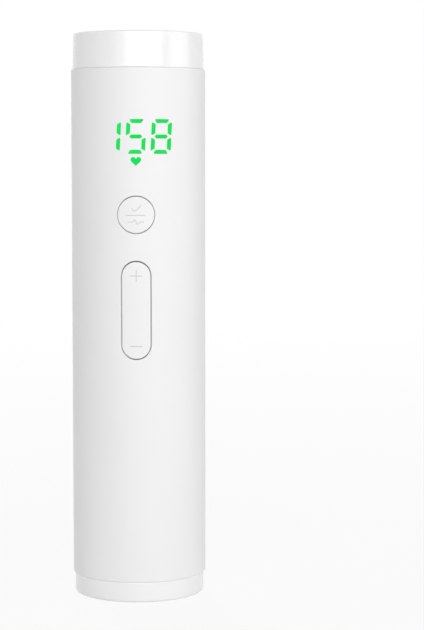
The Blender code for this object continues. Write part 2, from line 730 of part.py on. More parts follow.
def board_screw_places():
    low = BOARD_FOOT + BOARD_SCREW_INSET
    high = BOARD_TOP - BOARD_SCREW_INSET
    return [(x, z) for z in (low, high) for x in (-BOARD_SCREW_ACROSS, BOARD_SCREW_ACROSS)]


def half_tube(name, front):
    """One half of the body tube, split at its sides."""
    outline = ring_outline(INNER_RADIUS, BODY_RADIUS, BODY_HEIGHT, BODY_EDGE)
    shell = turned(name, SATIN_WHITE, outline, ROUND_SIDES, (0, 0, BODY_BASE), ring=True)
    reach = BODY_RADIUS + OVERRUN
    away = (-SPLIT_GAP / 2, reach) if front else (-reach, SPLIT_GAP / 2)
    cut(shell, block(name + "_other_half", None, (-reach, reach), away, (0, TOTAL_HEIGHT)))
    return shell


def side_band(name, inner, outer, start, end):
    """The two side strips of a tube between two depths."""
    height = BODY_HEIGHT - 2 * LIP_REACH
    outline = [(inner, height), (outer, height), (outer, 0), (inner, 0)]
    band = turned(name, None, outline, ROUND_SIDES, (0, 0, BODY_BASE + LIP_REACH), ring=True)
    reach = BODY_RADIUS + OVERRUN
    keep_inside(band, block(name + "_span", None, (-reach, reach), (start, end), (0, TOTAL_HEIGHT)))
    return band


def make_front_shell(mid_wall):
    shell = half_tube("front_shell", front=True)
    lip_inner = INNER_RADIUS + LIP_STEP
    join(shell, side_band("side_lip", lip_inner, lip_inner + LIP_THICKNESS, -LIP_REACH, LIP_REACH))
    wall_start = MID_WALL_RADIUS + WALL
    for i, z in enumerate(case_screw_heights()):
        start = (0, -wall_start, z)
        boss = rod(f"case_boss_{i}", None, CASE_BOSS_RADIUS, start, (0, -CASE_BOSS_END, z), SMALL_SIDES)
        keep_inside(boss, mid_wall)
        join(shell, boss)
    board_boss_end = BOARD_DEPTH + REST_GAP
    for i, (x, z) in enumerate(board_screw_places()):
        start = (x, -wall_start, z)
        boss = rod(f"board_boss_{i}", None, BOARD_BOSS_RADIUS, start, (x, -board_boss_end, z), SMALL_SIDES)
        keep_inside(boss, mid_wall)
        join(shell, boss)
    lug_end = PIVOT_DEPTH - LUG_BELOW_PIVOT
    lug_height = (ROCKER_Z - LUG_HALF_HEIGHT, ROCKER_Z + LUG_HALF_HEIGHT)
    for side, across in (("left", (-LUG_OUTER, -LUG_INNER)), ("right", (LUG_INNER, LUG_OUTER))):
        lug = block(f"rocker_lug_{side}", None, across, (-wall_start, -lug_end), lug_height)
        keep_inside(lug, mid_wall)
        join(shell, lug)
    ok_start = (0, -BODY_RADIUS - OVERRUN, OK_Z)
    ok_end = (0, -OK_FLANGE_BACK, OK_Z)
    cut(shell, rod("ok_hole", None, OK_HOLE_RADIUS, ok_start, ok_end, PART_SIDES))
    hole = rounded_rectangle(ROCKER_HOLE_WIDTH, ROCKER_HOLE_LENGTH, ROCKER_HOLE_WIDTH / 2, PART_SIDES // 4)
    cut(shell, front_prism("rocker_hole", None, hole, ROCKER_Z, PIVOT_DEPTH + PIVOT_RADIUS))
    bore_half = LUG_OUTER + REST_GAP
    bore_radius = PIVOT_RADIUS + RUNNING_GAP
    bore_start = (-bore_half, -PIVOT_DEPTH, ROCKER_Z)
    bore_end = (bore_half, -PIVOT_DEPTH, ROCKER_Z)
    cut(shell, rod("pivot_bore", None, bore_radius, bore_start, bore_end, SMALL_SIDES))
    pilot = CASE_SCREW_RADIUS + PILOT_CLEARANCE
    for i, z in enumerate(case_screw_heights()):
        start = (0, -CASE_PILOT_END, z)
        cut(shell, rod(f"case_pilot_{i}", None, pilot, start, (0, 0, z), HOLE_SIDES))
    pilot = BOARD_SCREW_RADIUS + PILOT_CLEARANCE
    for i, (x, z) in enumerate(board_screw_places()):
        start = (x, -board_boss_end - BOARD_PILOT_DEPTH, z)
        cut(shell, rod(f"board_pilot_{i}", None, pilot, start, (x, -BOARD_BACK, z), HOLE_SIDES))
    cut_fine(shell, lit_prisms("lit_slots", SLOT_CLEARANCE, GUIDE_DEPTH))


# Rear shell with the battery bay


def make_bay(bay_round):
    """The open trough for the cell, with a rim that the door lies on."""
    far = BODY_RADIUS + OVERRUN
    floor_back = BAY_FLOOR - BAY_FLOOR_THICKNESS
    height = (BAY_LOW - BAY_FOOT_THICKNESS, BAY_HIGH + BAY_HEAD_THICKNESS)
    outer = BAY_OUTER_HALF_WIDTH
    bay = block("battery_bay", None, (-outer, outer), (floor_back, far), height)
    rim = BAY_RIM_HALF_WIDTH
    join(bay, block("bay_rim", None, (-rim, rim), (BAY_RIM_DEPTH, far), height))
    keep_inside(bay, bay_round)
    hollow = (-BAY_HALF_WIDTH, BAY_HALF_WIDTH)
    cut(bay, block("bay_hollow", None, hollow, (BAY_FLOOR, far + OVERRUN), (BAY_LOW, BAY_HIGH)))
    tab_room = (BAY_LOW - BAY_FOOT_THICKNESS - OVERRUN, BAY_LOW + OVERRUN)
    cut(bay, block("tab_room", None, hollow, (BAY_FOOT_HEIGHT, far + OVERRUN), tab_room))
    for i, z in enumerate(case_screw_heights()):
        start = (0, -CASE_SEAT_BACK, z)
        seat_end = (0, floor_back + BAY_FLOOR_THICKNESS / 2, z)
        join(bay, rod(f"screw_seat_{i}", None, CASE_SEAT_RADIUS, start, seat_end, PART_SIDES))
        head_room = CASE_SCREW_HEAD_RADIUS + CASE_HOLE_CLEARANCE
        start = (0, CASE_HEAD_SEAT, z)
        cut(bay, rod(f"head_room_{i}", None, head_room, start, (0, BAY_FLOOR + OVERRUN, z), SMALL_SIDES))
        hole = CASE_SCREW_RADIUS + CASE_HOLE_CLEARANCE
        start = (0, -CASE_SEAT_BACK - OVERRUN, z)
        cut(bay, rod(f"screw_way_{i}", None, hole, start, (0, BAY_FLOOR, z), SMALL_SIDES))
    slot = CONTACT_TAIL_WIDTH / 2 + CONTACT_SLOT_CLEARANCE
    for i, z in enumerate((LOW_CONTACT_Z, HIGH_CONTACT_Z)):
        height = (z - CONTACT_SLOT_CLEARANCE, z + CONTACT_THICKNESS + CONTACT_SLOT_CLEARANCE)
        depth = (floor_back - OVERRUN, BAY_FLOOR + OVERRUN)
        cut(bay, block(f"contact_slot_{i}", None, (-slot, slot), depth, height))
    return bay


def make_rear_shell(mid_wall, bay_round):
    shell = half_tube("rear_shell", front=False)
    far = BODY_RADIUS + OVERRUN
    rebate = INNER_RADIUS + LIP_STEP + LIP_THICKNESS + REST_GAP
    rebate_span = (-LIP_REACH, LIP_REACH + REST_GAP)
    cut(shell, side_band("side_rebate", INNER_RADIUS - REST_GAP, rebate, *rebate_span))
    opening = rounded_rectangle(
        DOOR_LINE_WIDTH + DOOR_GAP, DOOR_LINE_HEIGHT + DOOR_GAP, DOOR_CORNER + DOOR_GAP / 2, CORNER_STEPS
    )
    door_middle = (DOOR_TOP + DOOR_FOOT) / 2
    opening_depth = far - BAY_RIM_DEPTH
    place = (0, BAY_RIM_DEPTH + opening_depth / 2, door_middle)
    cut(shell, plate("door_opening", None, [opening], opening_depth, place, upright=True))
    join(shell, make_bay(bay_round))
    rim = BAY_RIM_HALF_WIDTH
    inner = rim - BAY_ANCHOR_LAP
    outer = rim + BAY_ANCHOR_WIDTH
    depth = (BAY_RIM_DEPTH - BAY_ANCHOR_BELOW_RIM, far)
    height = (BAY_LOW - BAY_FOOT_THICKNESS, BAY_HIGH + BAY_HEAD_THICKNESS)
    for side, across in (("left", (-outer, -inner)), ("right", (inner, outer))):
        anchor = block(f"bay_anchor_{side}", None, across, depth, height)
        keep_inside(anchor, mid_wall)
        join(shell, anchor)
    height = (DOOR_TOP + DOOR_GAP, BAY_HIGH + BAY_HEAD_THICKNESS)
    head = block("bay_anchor_head", None, (-rim, rim), (BAY_RIM_DEPTH, far), height)
    keep_inside(head, mid_wall)
    join(shell, head)
    height = (LEDGE_TOP - LEDGE_HEIGHT, LEDGE_TOP)
    for side, across in (("left", (-LEDGE_OUTER, -LEDGE_INNER)), ("right", (LEDGE_INNER, LEDGE_OUTER))):
        ledge = block(f"charge_ledge_{side}", None, across, (LEDGE_START, far), height)
        keep_inside(ledge, mid_wall)
        join(shell, ledge)
    pilot = BOARD_SCREW_RADIUS + PILOT_CLEARANCE
    for i, x in enumerate((-CHARGE_SCREW_ACROSS, CHARGE_SCREW_ACROSS)):
        low = (x, CHARGE_SCREW_DEPTH, LEDGE_TOP - CHARGE_PILOT_DEPTH)
        cut(shell, rod(f"charge_pilot_{i}", None, pilot, low, (x, CHARGE_SCREW_DEPTH, USB_Z), HOLE_SIDES))
    half_width = USB_WIDTH / 2 + REST_GAP
    half_height = USB_HEIGHT / 2 + REST_GAP
    pocket = (USB_Z - half_height, USB_Z + half_height)
    cut(shell, block("usb_pocket", None, (-half_width, half_width), (USB_BACK, USB_POCKET_DEPTH), pocket))
    slot = rounded_rectangle(USB_SLOT_WIDTH, USB_SLOT_HEIGHT, USB_SLOT_HEIGHT / 2, CORNER_STEPS)
    slot_depth = far - USB_BACK
    place = (0, USB_BACK + slot_depth / 2, USB_Z)
    cut(shell, plate("usb_slot", None, [slot], slot_depth, place, upright=True))


def make_battery_door():
    outline = rounded_rectangle(
        DOOR_LINE_WIDTH - DOOR_GAP, DOOR_LINE_HEIGHT - DOOR_GAP, DOOR_CORNER - DOOR_GAP / 2, CORNER_STEPS
    )
    depth = BODY_RADIUS + OVERRUN - BAY_RIM_DEPTH
    place = (0, BAY_RIM_DEPTH + depth / 2, (DOOR_TOP + DOOR_FOOT) / 2)
    door = plate("battery_door", SATIN_WHITE, [outline], depth, place, upright=True)
    skin = [
        (DOOR_INNER_RADIUS, TOTAL_HEIGHT),
        (BODY_RADIUS, TOTAL_HEIGHT),
        (BODY_RADIUS, 0),
        (DOOR_INNER_RADIUS, 0),
    ]
    keep_inside(door, turned("door_skin", None, skin, ROUND_SIDES, (0, 0, 0), ring=True))
    door_edge = DOOR_FOOT + DOOR_GAP / 2
    mid_door = DOOR_INNER_RADIUS + DOOR_THICKNESS / 2
    for side, sign in (("left", -1), ("right", 1)):
        tab_across = sorted((sign * TAB_INNER, sign * (TAB_INNER + TAB_WIDTH)))
        tab_depth = (TAB_OUT - TAB_THICKNESS, TAB_OUT)
        tab_height = (door_edge - TAB_REACH, door_edge + TAB_ROOT - TAB_LEG_INSET)
        tab = block(f"door_tab_{side}", None, tab_across, tab_depth, tab_height)
        leg_across = (tab_across[0] + TAB_LEG_INSET, tab_across[1] - TAB_LEG_INSET)
        leg_depth = (TAB_OUT - TAB_THICKNESS / 2, front_depth(TAB_INNER + TAB_WIDTH, mid_door))
        leg_height = (door_edge + DOOR_GAP, door_edge + TAB_ROOT)
        leg = block(f"door_leg_{side}", None, leg_across, leg_depth, leg_height)
        join(tab, leg)
        join(door, tab)
    notch_radius = ((NOTCH_WIDTH / 2) ** 2 + NOTCH_DROP**2) / (2 * NOTCH_DROP)
    notch_z = DOOR_TOP - DOOR_GAP / 2 - NOTCH_DROP + notch_radius
    start = (0, BODY_RADIUS - NOTCH_DEPTH, notch_z)
    end = (0, BODY_RADIUS + OVERRUN, notch_z)
    cut(door, rod("nail_notch", None, notch_radius, start, end, ROUND_SIDES))
    hang("battery_door_hinge", (0, BODY_RADIUS, DOOR_HINGE_Z), door)


# Display


def make_display(body_round):
    half_width = front_depth(GUIDE_DEPTH, SPIGOT_RADIUS)
    top = DISPLAY_Z + BAR_TO_BAR + BAR_WIDTH / 2 + GUIDE_MARGIN
    back = GUIDE_DEPTH - GUIDE_THICKNESS
    guide = block(
        "display_light_guide", LIT_GREEN, (-half_width, half_width), (-GUIDE_DEPTH, -back), (GUIDE_FOOT, top)
    )
    bars = lit_prisms("lit_bars", 0, back + GUIDE_THICKNESS / 2)
    keep_inside(bars, body_round)
    join(guide, bars)
    module_depth = (-back + REST_GAP, -BOARD_DEPTH - SOLDER_GAP)
    block("display_module", CHIP_BLACK, (-half_width, half_width), module_depth, (GUIDE_FOOT, top))


# Boards


def make_main_board():
    height = BOARD_TOP - BOARD_FOOT
    middle = (BOARD_TOP + BOARD_FOOT) / 2
    outlines = [rounded_rectangle(BOARD_WIDTH, height, BOARD_CORNER, CORNER_STEPS)]
    for z in case_screw_heights():
        outlines.append(circle((0, z - middle), CASE_BOSS_RADIUS + REST_GAP, SMALL_SIDES))
    for x, z in board_screw_places():
        outlines.append(circle((x, z - middle), BOARD_SCREW_RADIUS + CASE_HOLE_CLEARANCE, HOLE_SIDES))
    place = (0, -(BOARD_DEPTH + BOARD_BACK) / 2, middle)
    plate("main_board", BOARD_GREEN, outlines, BOARD_THICKNESS, place, upright=True)


def board_chip(name, look, size, x, z):
    """A flat chip on the back of the main board, its middle at x and z."""
    width, height, thickness = size
    face = -BOARD_BACK + SOLDER_GAP
    across = (x - width / 2, x + width / 2)
    block(name, look, across, (face, face + thickness), (z - height / 2, z + height / 2))


def make_chips():
    board_chip("processor_chip", CHIP_BLACK, PROCESSOR_SIZE, 0, OK_Z - PROCESSOR_BELOW_OK)
    board_chip("ultrasound_chip", CHIP_BLACK, ULTRASOUND_SIZE, 0, BOARD_FOOT + ULTRASOUND_RISE)
    board_chip("amplifier_chip", CHIP_BLACK, AMPLIFIER_SIZE, AMPLIFIER_ACROSS, BOARD_TOP - AMPLIFIER_INSET)
    board_chip("quartz_can", STEEL, QUARTZ_SIZE, -QUARTZ_ACROSS, BOARD_FOOT + QUARTZ_RISE)
    socket_middle = BOARD_FOOT + PROBE_SOCKET_RISE + PROBE_SOCKET_SIZE[1] / 2
    board_chip("probe_socket", DARK_PLASTIC, PROBE_SOCKET_SIZE, 0, socket_middle)


def make_charge_board():
    length = CHARGE_END + CHARGE_START
    middle = (CHARGE_END - CHARGE_START) / 2
    outlines = [rounded_rectangle(CHARGE_WIDTH, length, BOARD_CORNER / 2, CORNER_STEPS)]
    hole = BOARD_SCREW_RADIUS + CASE_HOLE_CLEARANCE
    for x in (-CHARGE_SCREW_ACROSS, CHARGE_SCREW_ACROSS):
        outlines.append(circle((x, CHARGE_SCREW_DEPTH - middle), hole, HOLE_SIDES))
    place = (0, middle, (CHARGE_TOP + CHARGE_LOW) / 2)
    plate("charge_board", BOARD_GREEN, outlines, CHARGE_THICKNESS, place)
    half = CHARGE_CHIP_SIDE / 2
    low = CHARGE_TOP + SOLDER_GAP
    depth = (CHARGE_CHIP_DEPTH - half, CHARGE_CHIP_DEPTH + half)
    block("charge_chip", CHIP_BLACK, (-half, half), depth, (low, low + CHARGE_CHIP_HEIGHT))
    width, height, thickness = HEADER_SIZE
    depth = (-CHARGE_START, -CHARGE_START + thickness)
    block("board_header", DARK_PLASTIC, (-width / 2, width / 2), depth, (low, low + height))


def make_usb_socket():
    outer = rounded_rectangle(USB_WIDTH, USB_HEIGHT, USB_HEIGHT / 2, CORNER_STEPS)
    inner_height = USB_HEIGHT - 2 * USB_WALL
    inner = rounded_rectangle(USB_WIDTH - 2 * USB_WALL, inner_height, inner_height / 2, CORNER_STEPS)
    place = (0, (USB_FRONT + USB_BACK) / 2, USB_Z)
    plate("usb_socket_sleeve", DARK_STEEL, [outer, inner], USB_LENGTH, place, upright=True)
    shrink = 2 * (USB_WALL + USB_INNER_GAP)
    base_height = USB_HEIGHT - shrink
    base = rounded_rectangle(USB_WIDTH - shrink, base_height, base_height / 2, CORNER_STEPS)
    base_start = USB_BACK + REST_GAP
    place = (0, base_start + USB_BASE_LENGTH / 2, USB_Z)
    tongue = plate("usb_socket_tongue", DARK_PLASTIC, [base], USB_BASE_LENGTH, place, upright=True)
    depth = (base_start + USB_BASE_LENGTH / 2, base_start + USB_BASE_LENGTH + USB_TONGUE_LENGTH)
    half_height = USB_TONGUE_HEIGHT / 2
    half_width = USB_TONGUE_WIDTH / 2
    height = (USB_Z - half_height, USB_Z + half_height)
    join(tongue, block("usb_blade", None, (-half_width, half_width), depth, height))


# Switches, button and rocker


def make_switch(name, z):
    """A push switch on the main board. Its plunger slides in its body."""
    half = SWITCH_SIDE / 2
    foot = BOARD_DEPTH + SOLDER_GAP
    body = block(f"{name}_switch_body", CHIP_BLACK, (-half, half), (-SWITCH_TOP, -foot), (z - half, z + half))
    root = SWITCH_TOP - PLUNGER_ROOT
    bore_end = (0, -(root - PLUNGER_TRAVEL - REST_GAP), z)
    bore_start = (0, -(SWITCH_TOP + OVERRUN), z)
    bore = PLUNGER_RADIUS + PRESS_GAP
    cut(body, rod(f"{name}_switch_bore", None, bore, bore_start, bore_end, SMALL_SIDES))
    start = (0, -PLUNGER_TOP, z)
    plunger = rod(f"{name}_switch_plunger", DARK_PLASTIC, PLUNGER_RADIUS, start, (0, -root, z), SMALL_SIDES)
    hang(f"{name}_switch_slide", start, plunger)


def make_ok_button(body_round, flange_round):
    start = (0, -BODY_RADIUS, OK_Z)
    back = (0, -OK_FLANGE_BACK, OK_Z)
    button = rod("ok_button", SATIN_WHITE, OK_FLANGE_RADIUS, start, back, PART_SIDES)
    keep_inside(button, flange_round)
    head_start = (0, -BODY_RADIUS - OVERRUN, OK_Z)
    head_back = (0, -OK_FLANGE_BACK - OK_STEM_LENGTH / 2, OK_Z)
    head = rod("ok_head", None, OK_RADIUS, head_start, head_back, PART_SIDES)
    keep_inside(head, body_round)
    stem_start = (0, -OK_FLANGE_BACK - OK_STEM_LENGTH, OK_Z)
    stem = rod("ok_stem", None, OK_STEM_RADIUS, stem_start, (0, -OK_STEM_END, OK_Z), SMALL_SIDES)
    join(button, head, stem)
    hang("ok_button_slide", start, button)


def make_rocker(body_round):
    outline = rounded_rectangle(ROCKER_WIDTH, ROCKER_LENGTH, ROCKER_WIDTH / 2, PART_SIDES // 4)
    rocker = front_prism("volume_rocker", SATIN_WHITE, outline, ROCKER_Z, ROCKER_BACK)
    keep_inside(rocker, body_round)
    half_width = ROCKER_RIB_WIDTH / 2
    half_height = ROCKER_RIB_HEIGHT / 2
    depth = (-ROCKER_BACK - PIVOT_RADIUS, -PIVOT_DEPTH)
    height = (ROCKER_Z - half_height, ROCKER_Z + half_height)
    join(rocker, block("rocker_rib", None, (-half_width, half_width), depth, height))
    pin_half = LUG_OUTER - PRESS_GAP
    pin_start = (-pin_half, -PIVOT_DEPTH, ROCKER_Z)
    pin_end = (pin_half, -PIVOT_DEPTH, ROCKER_Z)
    join(rocker, rod("rocker_pin", None, PIVOT_RADIUS, pin_start, pin_end, SMALL_SIDES))
    for side, z in rocker_posts():
        start = (0, -ROCKER_BACK - PIVOT_RADIUS, z)
        end = (0, -ROCKER_POST_END, z)
        join(rocker, rod(f"{side}_post", None, ROCKER_POST_RADIUS, start, end, SMALL_SIDES))
    hang("volume_rocker_hinge", (0, -PIVOT_DEPTH, ROCKER_Z), rocker)


def rocker_posts():
    return (("plus", ROCKER_Z + ROCKER_POST_OFFSET), ("minus", ROCKER_Z - ROCKER_POST_OFFSET))


# Battery


def make_cell():
    shoulder = CELL_LENGTH - CELL_NUB_HEIGHT
    outline = [
        (0, CELL_LENGTH),
        (CELL_NUB_RADIUS, CELL_LENGTH),
        (CELL_NUB_RADIUS, shoulder),
        *arc((CELL_RADIUS - CELL_EDGE, shoulder - CELL_EDGE), CELL_EDGE, 90, 0, EDGE_STEPS),
        *arc((CELL_RADIUS - CELL_EDGE, CELL_EDGE), CELL_EDGE, 0, -90, EDGE_STEPS),
        (0, 0),
    ]
    turned("battery_cell", CELL_JACKET, outline, PART_SIDES, (0, CELL_DEPTH, CELL_BASE))


def make_contact(name, z):
    """A contact blade across the bay, with a tail through the bay floor to the main board."""
    wide = CONTACT_WIDTH / 2
    thin = CONTACT_TAIL_WIDTH / 2
    tail_end = -BOARD_BACK + PRESS_GAP
    outline = [
        (-thin, tail_end),
        (thin, tail_end),
        (thin, CONTACT_LOW),
        (wide, CONTACT_LOW),
        (wide, CONTACT_HIGH),
        (-wide, CONTACT_HIGH),
        (-wide, CONTACT_LOW),
        (-thin, CONTACT_LOW),
    ]
    plate(name, NICKEL, [outline], CONTACT_THICKNESS, (0, 0, z + CONTACT_THICKNESS / 2))


def make_spring():
    low = LOW_CONTACT_Z + CONTACT_THICKNESS + REST_GAP + SPRING_WIRE_RADIUS
    high = CELL_BASE - REST_GAP - SPRING_WIRE_RADIUS
    count = SPRING_TURNS * SPRING_POINTS_PER_TURN
    points = []
    for i in range(count + 1):
        share = i / count
        radius = SPRING_FOOT_RADIUS + (SPRING_HEAD_RADIUS - SPRING_FOOT_RADIUS) * share
        angle = 2 * math.pi * i / SPRING_POINTS_PER_TURN
        across = radius * math.cos(angle)
        depth = CELL_DEPTH + radius * math.sin(angle)
        points.append((across, depth, low + (high - low) * share))
    wire("battery_spring", STEEL, points, SPRING_WIRE_RADIUS, 1)
    apart = range(SPRING_POINTS_PER_TURN // 2, count + 1)
    nearest = min(math.dist(points[i], points[i - gap]) for gap in apart for i in range(gap, count + 1))
    print(f"battery_spring: least gap to itself {(nearest - 2 * SPRING_WIRE_RADIUS) / MM:.2f} mm")


# Screws


def screw_outline(head_radius, head_height, shaft_radius, length):
    """Section of a screw whose head rests on its origin and whose shaft runs down from there."""
    recess = head_radius / 2
    return [
        (0, head_height / 2),
        (recess, head_height / 2),
        (recess, head_height),
        (head_radius, head_height),
        (head_radius, 0),
        (shaft_radius, 0),
        (shaft_radius, -length),
        (0, -length),
    ]


def make_screws():
    outline = screw_outline(
        CASE_SCREW_HEAD_RADIUS, CASE_SCREW_HEAD_HEIGHT, CASE_SCREW_RADIUS, CASE_SCREW_LENGTH
    )
    for i, z in enumerate(case_screw_heights()):
        place = (0, CASE_HEAD_SEAT + SOLDER_GAP, z)
        screw = turned(f"case_screw_{i + 1}", STEEL, outline, SMALL_SIDES, place)
        screw.rotation_euler.x = -math.pi / 2
    outline = screw_outline(
        BOARD_SCREW_HEAD_RADIUS, BOARD_SCREW_HEAD_HEIGHT, BOARD_SCREW_RADIUS, BOARD_SCREW_LENGTH
    )
    for i, (x, z) in enumerate(board_screw_places()):
        place = (x, -BOARD_BACK + SOLDER_GAP, z)
        screw = turned(f"board_screw_{i + 1}", STEEL, outline, HOLE_SIDES, place)
        screw.rotation_euler.x = -math.pi / 2
    outline = screw_outline(
        CHARGE_SCREW_HEAD_RADIUS, BOARD_SCREW_HEAD_HEIGHT, BOARD_SCREW_RADIUS, CHARGE_SCREW_LENGTH
    )
    for i, x in enumerate((-CHARGE_SCREW_ACROSS, CHARGE_SCREW_ACROSS)):
        place = (x, CHARGE_SCREW_DEPTH, CHARGE_TOP + SOLDER_GAP)
        turned(f"charge_screw_{i + 1}", STEEL, outline, HOLE_SIDES, place)


# Caps


def make_top_cap():
    step = TOP_RING_HEIGHT
    top = step
    low = -TOP_SPIGOT_LENGTH
    outline = [
        (0, top),
        *arc((TOP_RING_RADIUS - TOP_EDGE, top - TOP_EDGE), TOP_EDGE, 90, 0, EDGE_STEPS),
        (TOP_RING_RADIUS, 0),
        (SPIGOT_RADIUS, 0),
        (SPIGOT_RADIUS, low),
        (TOP_BORE_RADIUS, low),
        (TOP_BORE_RADIUS, top - TOP_FACE_THICKNESS),
        (0, top - TOP_FACE_THICKNESS),
    ]
    cap = turned("top_cap", GLOSS_WHITE, outline, ROUND_SIDES, (0, 0, TOP_CAP_SEAM))
    places = [(0, 0)]
    for ring in range(1, GRILLE_RINGS + 1):
        places += circle((0, 0), ring * GRILLE_PITCH, ring * GRILLE_PER_RING)
    for i, (x, y) in enumerate(places):
        start = (x, y, TOP_CEILING - OVERRUN)
        end = (x, y, TOTAL_HEIGHT + OVERRUN)
        cut_fine(cap, rod(f"grille_hole_{i}", None, GRILLE_HOLE_RADIUS, start, end, HOLE_SIDES))


def make_probe_cap():
    groove_low = BODY_BASE + GROOVE_RISE
    groove_high = groove_low + GROOVE_HEIGHT
    groove_radius = SPIGOT_RADIUS - GROOVE_DEPTH
    outline = [
        (PROBE_BORE_RADIUS, PROBE_SPIGOT_TOP),
        (SPIGOT_RADIUS, PROBE_SPIGOT_TOP),
        (SPIGOT_RADIUS, groove_high),
        (groove_radius, groove_high),
        (groove_radius, groove_low),
        (SPIGOT_RADIUS, groove_low),
        (SPIGOT_RADIUS, PROBE_RING_HEIGHT),
        (PROBE_RADIUS, PROBE_RING_HEIGHT),
        *arc((PROBE_RADIUS - PROBE_EDGE, PROBE_EDGE), PROBE_EDGE, 0, -90, EDGE_STEPS + 1),
        (0, 0),
    ]
    outline = [(0, PROBE_FACE_THICKNESS), (PROBE_BORE_RADIUS, PROBE_FACE_THICKNESS), *outline]
    turned("probe_cap", GLOSS_WHITE, outline, ROUND_SIDES, (0, 0, 0))
    ring_radius = groove_radius + SOLDER_GAP + SEAL_RADIUS
    ring = circle((ring_radius, 0), SEAL_RADIUS, SEAL_SIDES)[::-1]
    place = (0, 0, (groove_low + groove_high) / 2)
    turned("probe_seal_ring", SEAL_RUBBER, ring, ROUND_SIDES, place, ring=True)


# Speaker


def make_speaker():
    low = TOP_CEILING - REST_GAP - GASKET_THICKNESS
    gasket_inner = SPEAKER_RADIUS - GASKET_WIDTH
    gasket = [
        (gasket_inner, GASKET_THICKNESS),
        (SPEAKER_RADIUS, GASKET_THICKNESS),
        (SPEAKER_RADIUS, 0),
        (gasket_inner, 0),
    ]
    turned("speaker_gasket", GREY_FELT, gasket, PART_SIDES, (0, 0, low), ring=True)
    frame = [
        (FRAME_BASKET_RADIUS - FRAME_WALL, FRAME_HEIGHT),
        (SPEAKER_RADIUS, FRAME_HEIGHT),
        (SPEAKER_RADIUS, FRAME_HEIGHT - FRAME_FLANGE_THICKNESS),
        (FRAME_BASKET_RADIUS, FRAME_HEIGHT - FRAME_FLANGE_THICKNESS),
        (FRAME_BASKET_RADIUS, 0),
        (0, 0),
    ]
    frame = [(0, FRAME_WALL), (FRAME_BASKET_RADIUS - FRAME_WALL, FRAME_WALL), *frame]
    turned("speaker_frame", STEEL, frame, PART_SIDES, (0, 0, FRAME_LOW))
    magnet = [
        (0, MAGNET_HEIGHT),
        (MAGNET_RADIUS, MAGNET_HEIGHT),
        (MAGNET_RADIUS, MAGNET_EDGE),
        (MAGNET_RADIUS - MAGNET_EDGE, 0),
        (0, 0),
    ]
    turned("speaker_magnet", STEEL, magnet, PART_SIDES, (0, 0, FRAME_LOW - SOLDER_GAP - MAGNET_HEIGHT))
    cone = [
        (0, CONE_DOME_RISE),
        (CONE_DOME_RADIUS, 0),
        (CONE_RADIUS, CONE_DIP),
        (CONE_RADIUS, CONE_DIP - CONE_THICKNESS),
        (CONE_DOME_RADIUS, -CONE_THICKNESS),
        (0, CONE_DOME_RISE - CONE_THICKNESS),
    ]
    place = (0, 0, FRAME_LOW + FRAME_WALL + REST_GAP + CONE_THICKNESS)
    turned("speaker_cone", CONE_PAPER, cone, PART_SIDES, place)
    clamp_inner = FRAME_BASKET_RADIUS + REST_GAP
    clamp = [
        (clamp_inner, CLAMP_HEIGHT),
        (SPEAKER_RADIUS, CLAMP_HEIGHT),
        (SPEAKER_RADIUS, 0),
        (clamp_inner, 0),
    ]
    clamp_low = FRAME_TOP - FRAME_FLANGE_THICKNESS - REST_GAP - CLAMP_HEIGHT
    turned("speaker_clamp_ring", DARK_PLASTIC, clamp, PART_SIDES, (0, 0, clamp_low), ring=True)


# Probe


def make_crystal(name, sign):
    """Half a disc, flat side to the middle."""
    start = -90 if sign > 0 else 90
    shift = sign * CRYSTAL_SPLIT / 2
    outline = arc((shift, 0), CRYSTAL_RADIUS, start, start + 180, PART_SIDES // 2)
    plate(name, CERAMIC, [outline], CRYSTAL_THICKNESS, (0, 0, CRYSTAL_LOW + CRYSTAL_THICKNESS / 2))


def make_probe():
    make_crystal("transmit_crystal", -1)
    make_crystal("receive_crystal", 1)
    backing_top = (0, 0, BACKING_TOP)
    rod("crystal_backing", BACKING_RUBBER, BACKING_RADIUS, (0, 0, BACKING_LOW), backing_top, PART_SIDES)
    height = SHIELD_CEILING + SHIELD_WALL - SHIELD_LOW
    inner = SHIELD_RADIUS - SHIELD_WALL
    shield = [(0, height), (SHIELD_RADIUS, height), (SHIELD_RADIUS, 0), (inner, 0)]
    shield += [(inner, height - SHIELD_WALL), (0, height - SHIELD_WALL)]
    cup = turned("probe_shield", COPPER, shield, PART_SIDES, (0, 0, SHIELD_LOW))
    for side, x in (("transmit", -LEAD_ACROSS), ("receive", LEAD_ACROSS)):
        start = (x, 0, SHIELD_CEILING - SHIELD_WALL / 2)
        end = (x, 0, SHIELD_CEILING + OVERRUN)
        cut(cup, rod(f"{side}_lead_hole", None, SHIELD_HOLE_RADIUS, start, end, HOLE_SIDES))


def smooth_route(points, steps):
    """A smooth curve through the points of a route."""
    route = [Vector(point) for point in points]
    ends = [2 * route[0] - route[1], *route, 2 * route[-1] - route[-2]]
    found = []
    for a, b, c, d in zip(ends, ends[1:], ends[2:], ends[3:]):
        for i in range(steps):
            t = i / steps
            swing = 2 * b + (c - a) * t + (2 * a - 5 * b + 4 * c - d) * t**2 + (3 * b - a - 3 * c + d) * t**3
            found.append(swing / 2)
    return [*found, route[-1]]


def make_lead(name, look, start, end):
    """A lead that leaves its start and meets its end upright."""
    begin = Vector(start)
    span = Vector(end) - begin
    route = [
        begin + Vector((span.x * side_share, span.y * side_share, span.z * rise_share))
        for rise_share, side_share in LEAD_SWEEP_SHARES
    ]
    wire(name, look, smooth_route(route, LEAD_STEPS), LEAD_RADIUS, LEAD_ROUNDNESS)


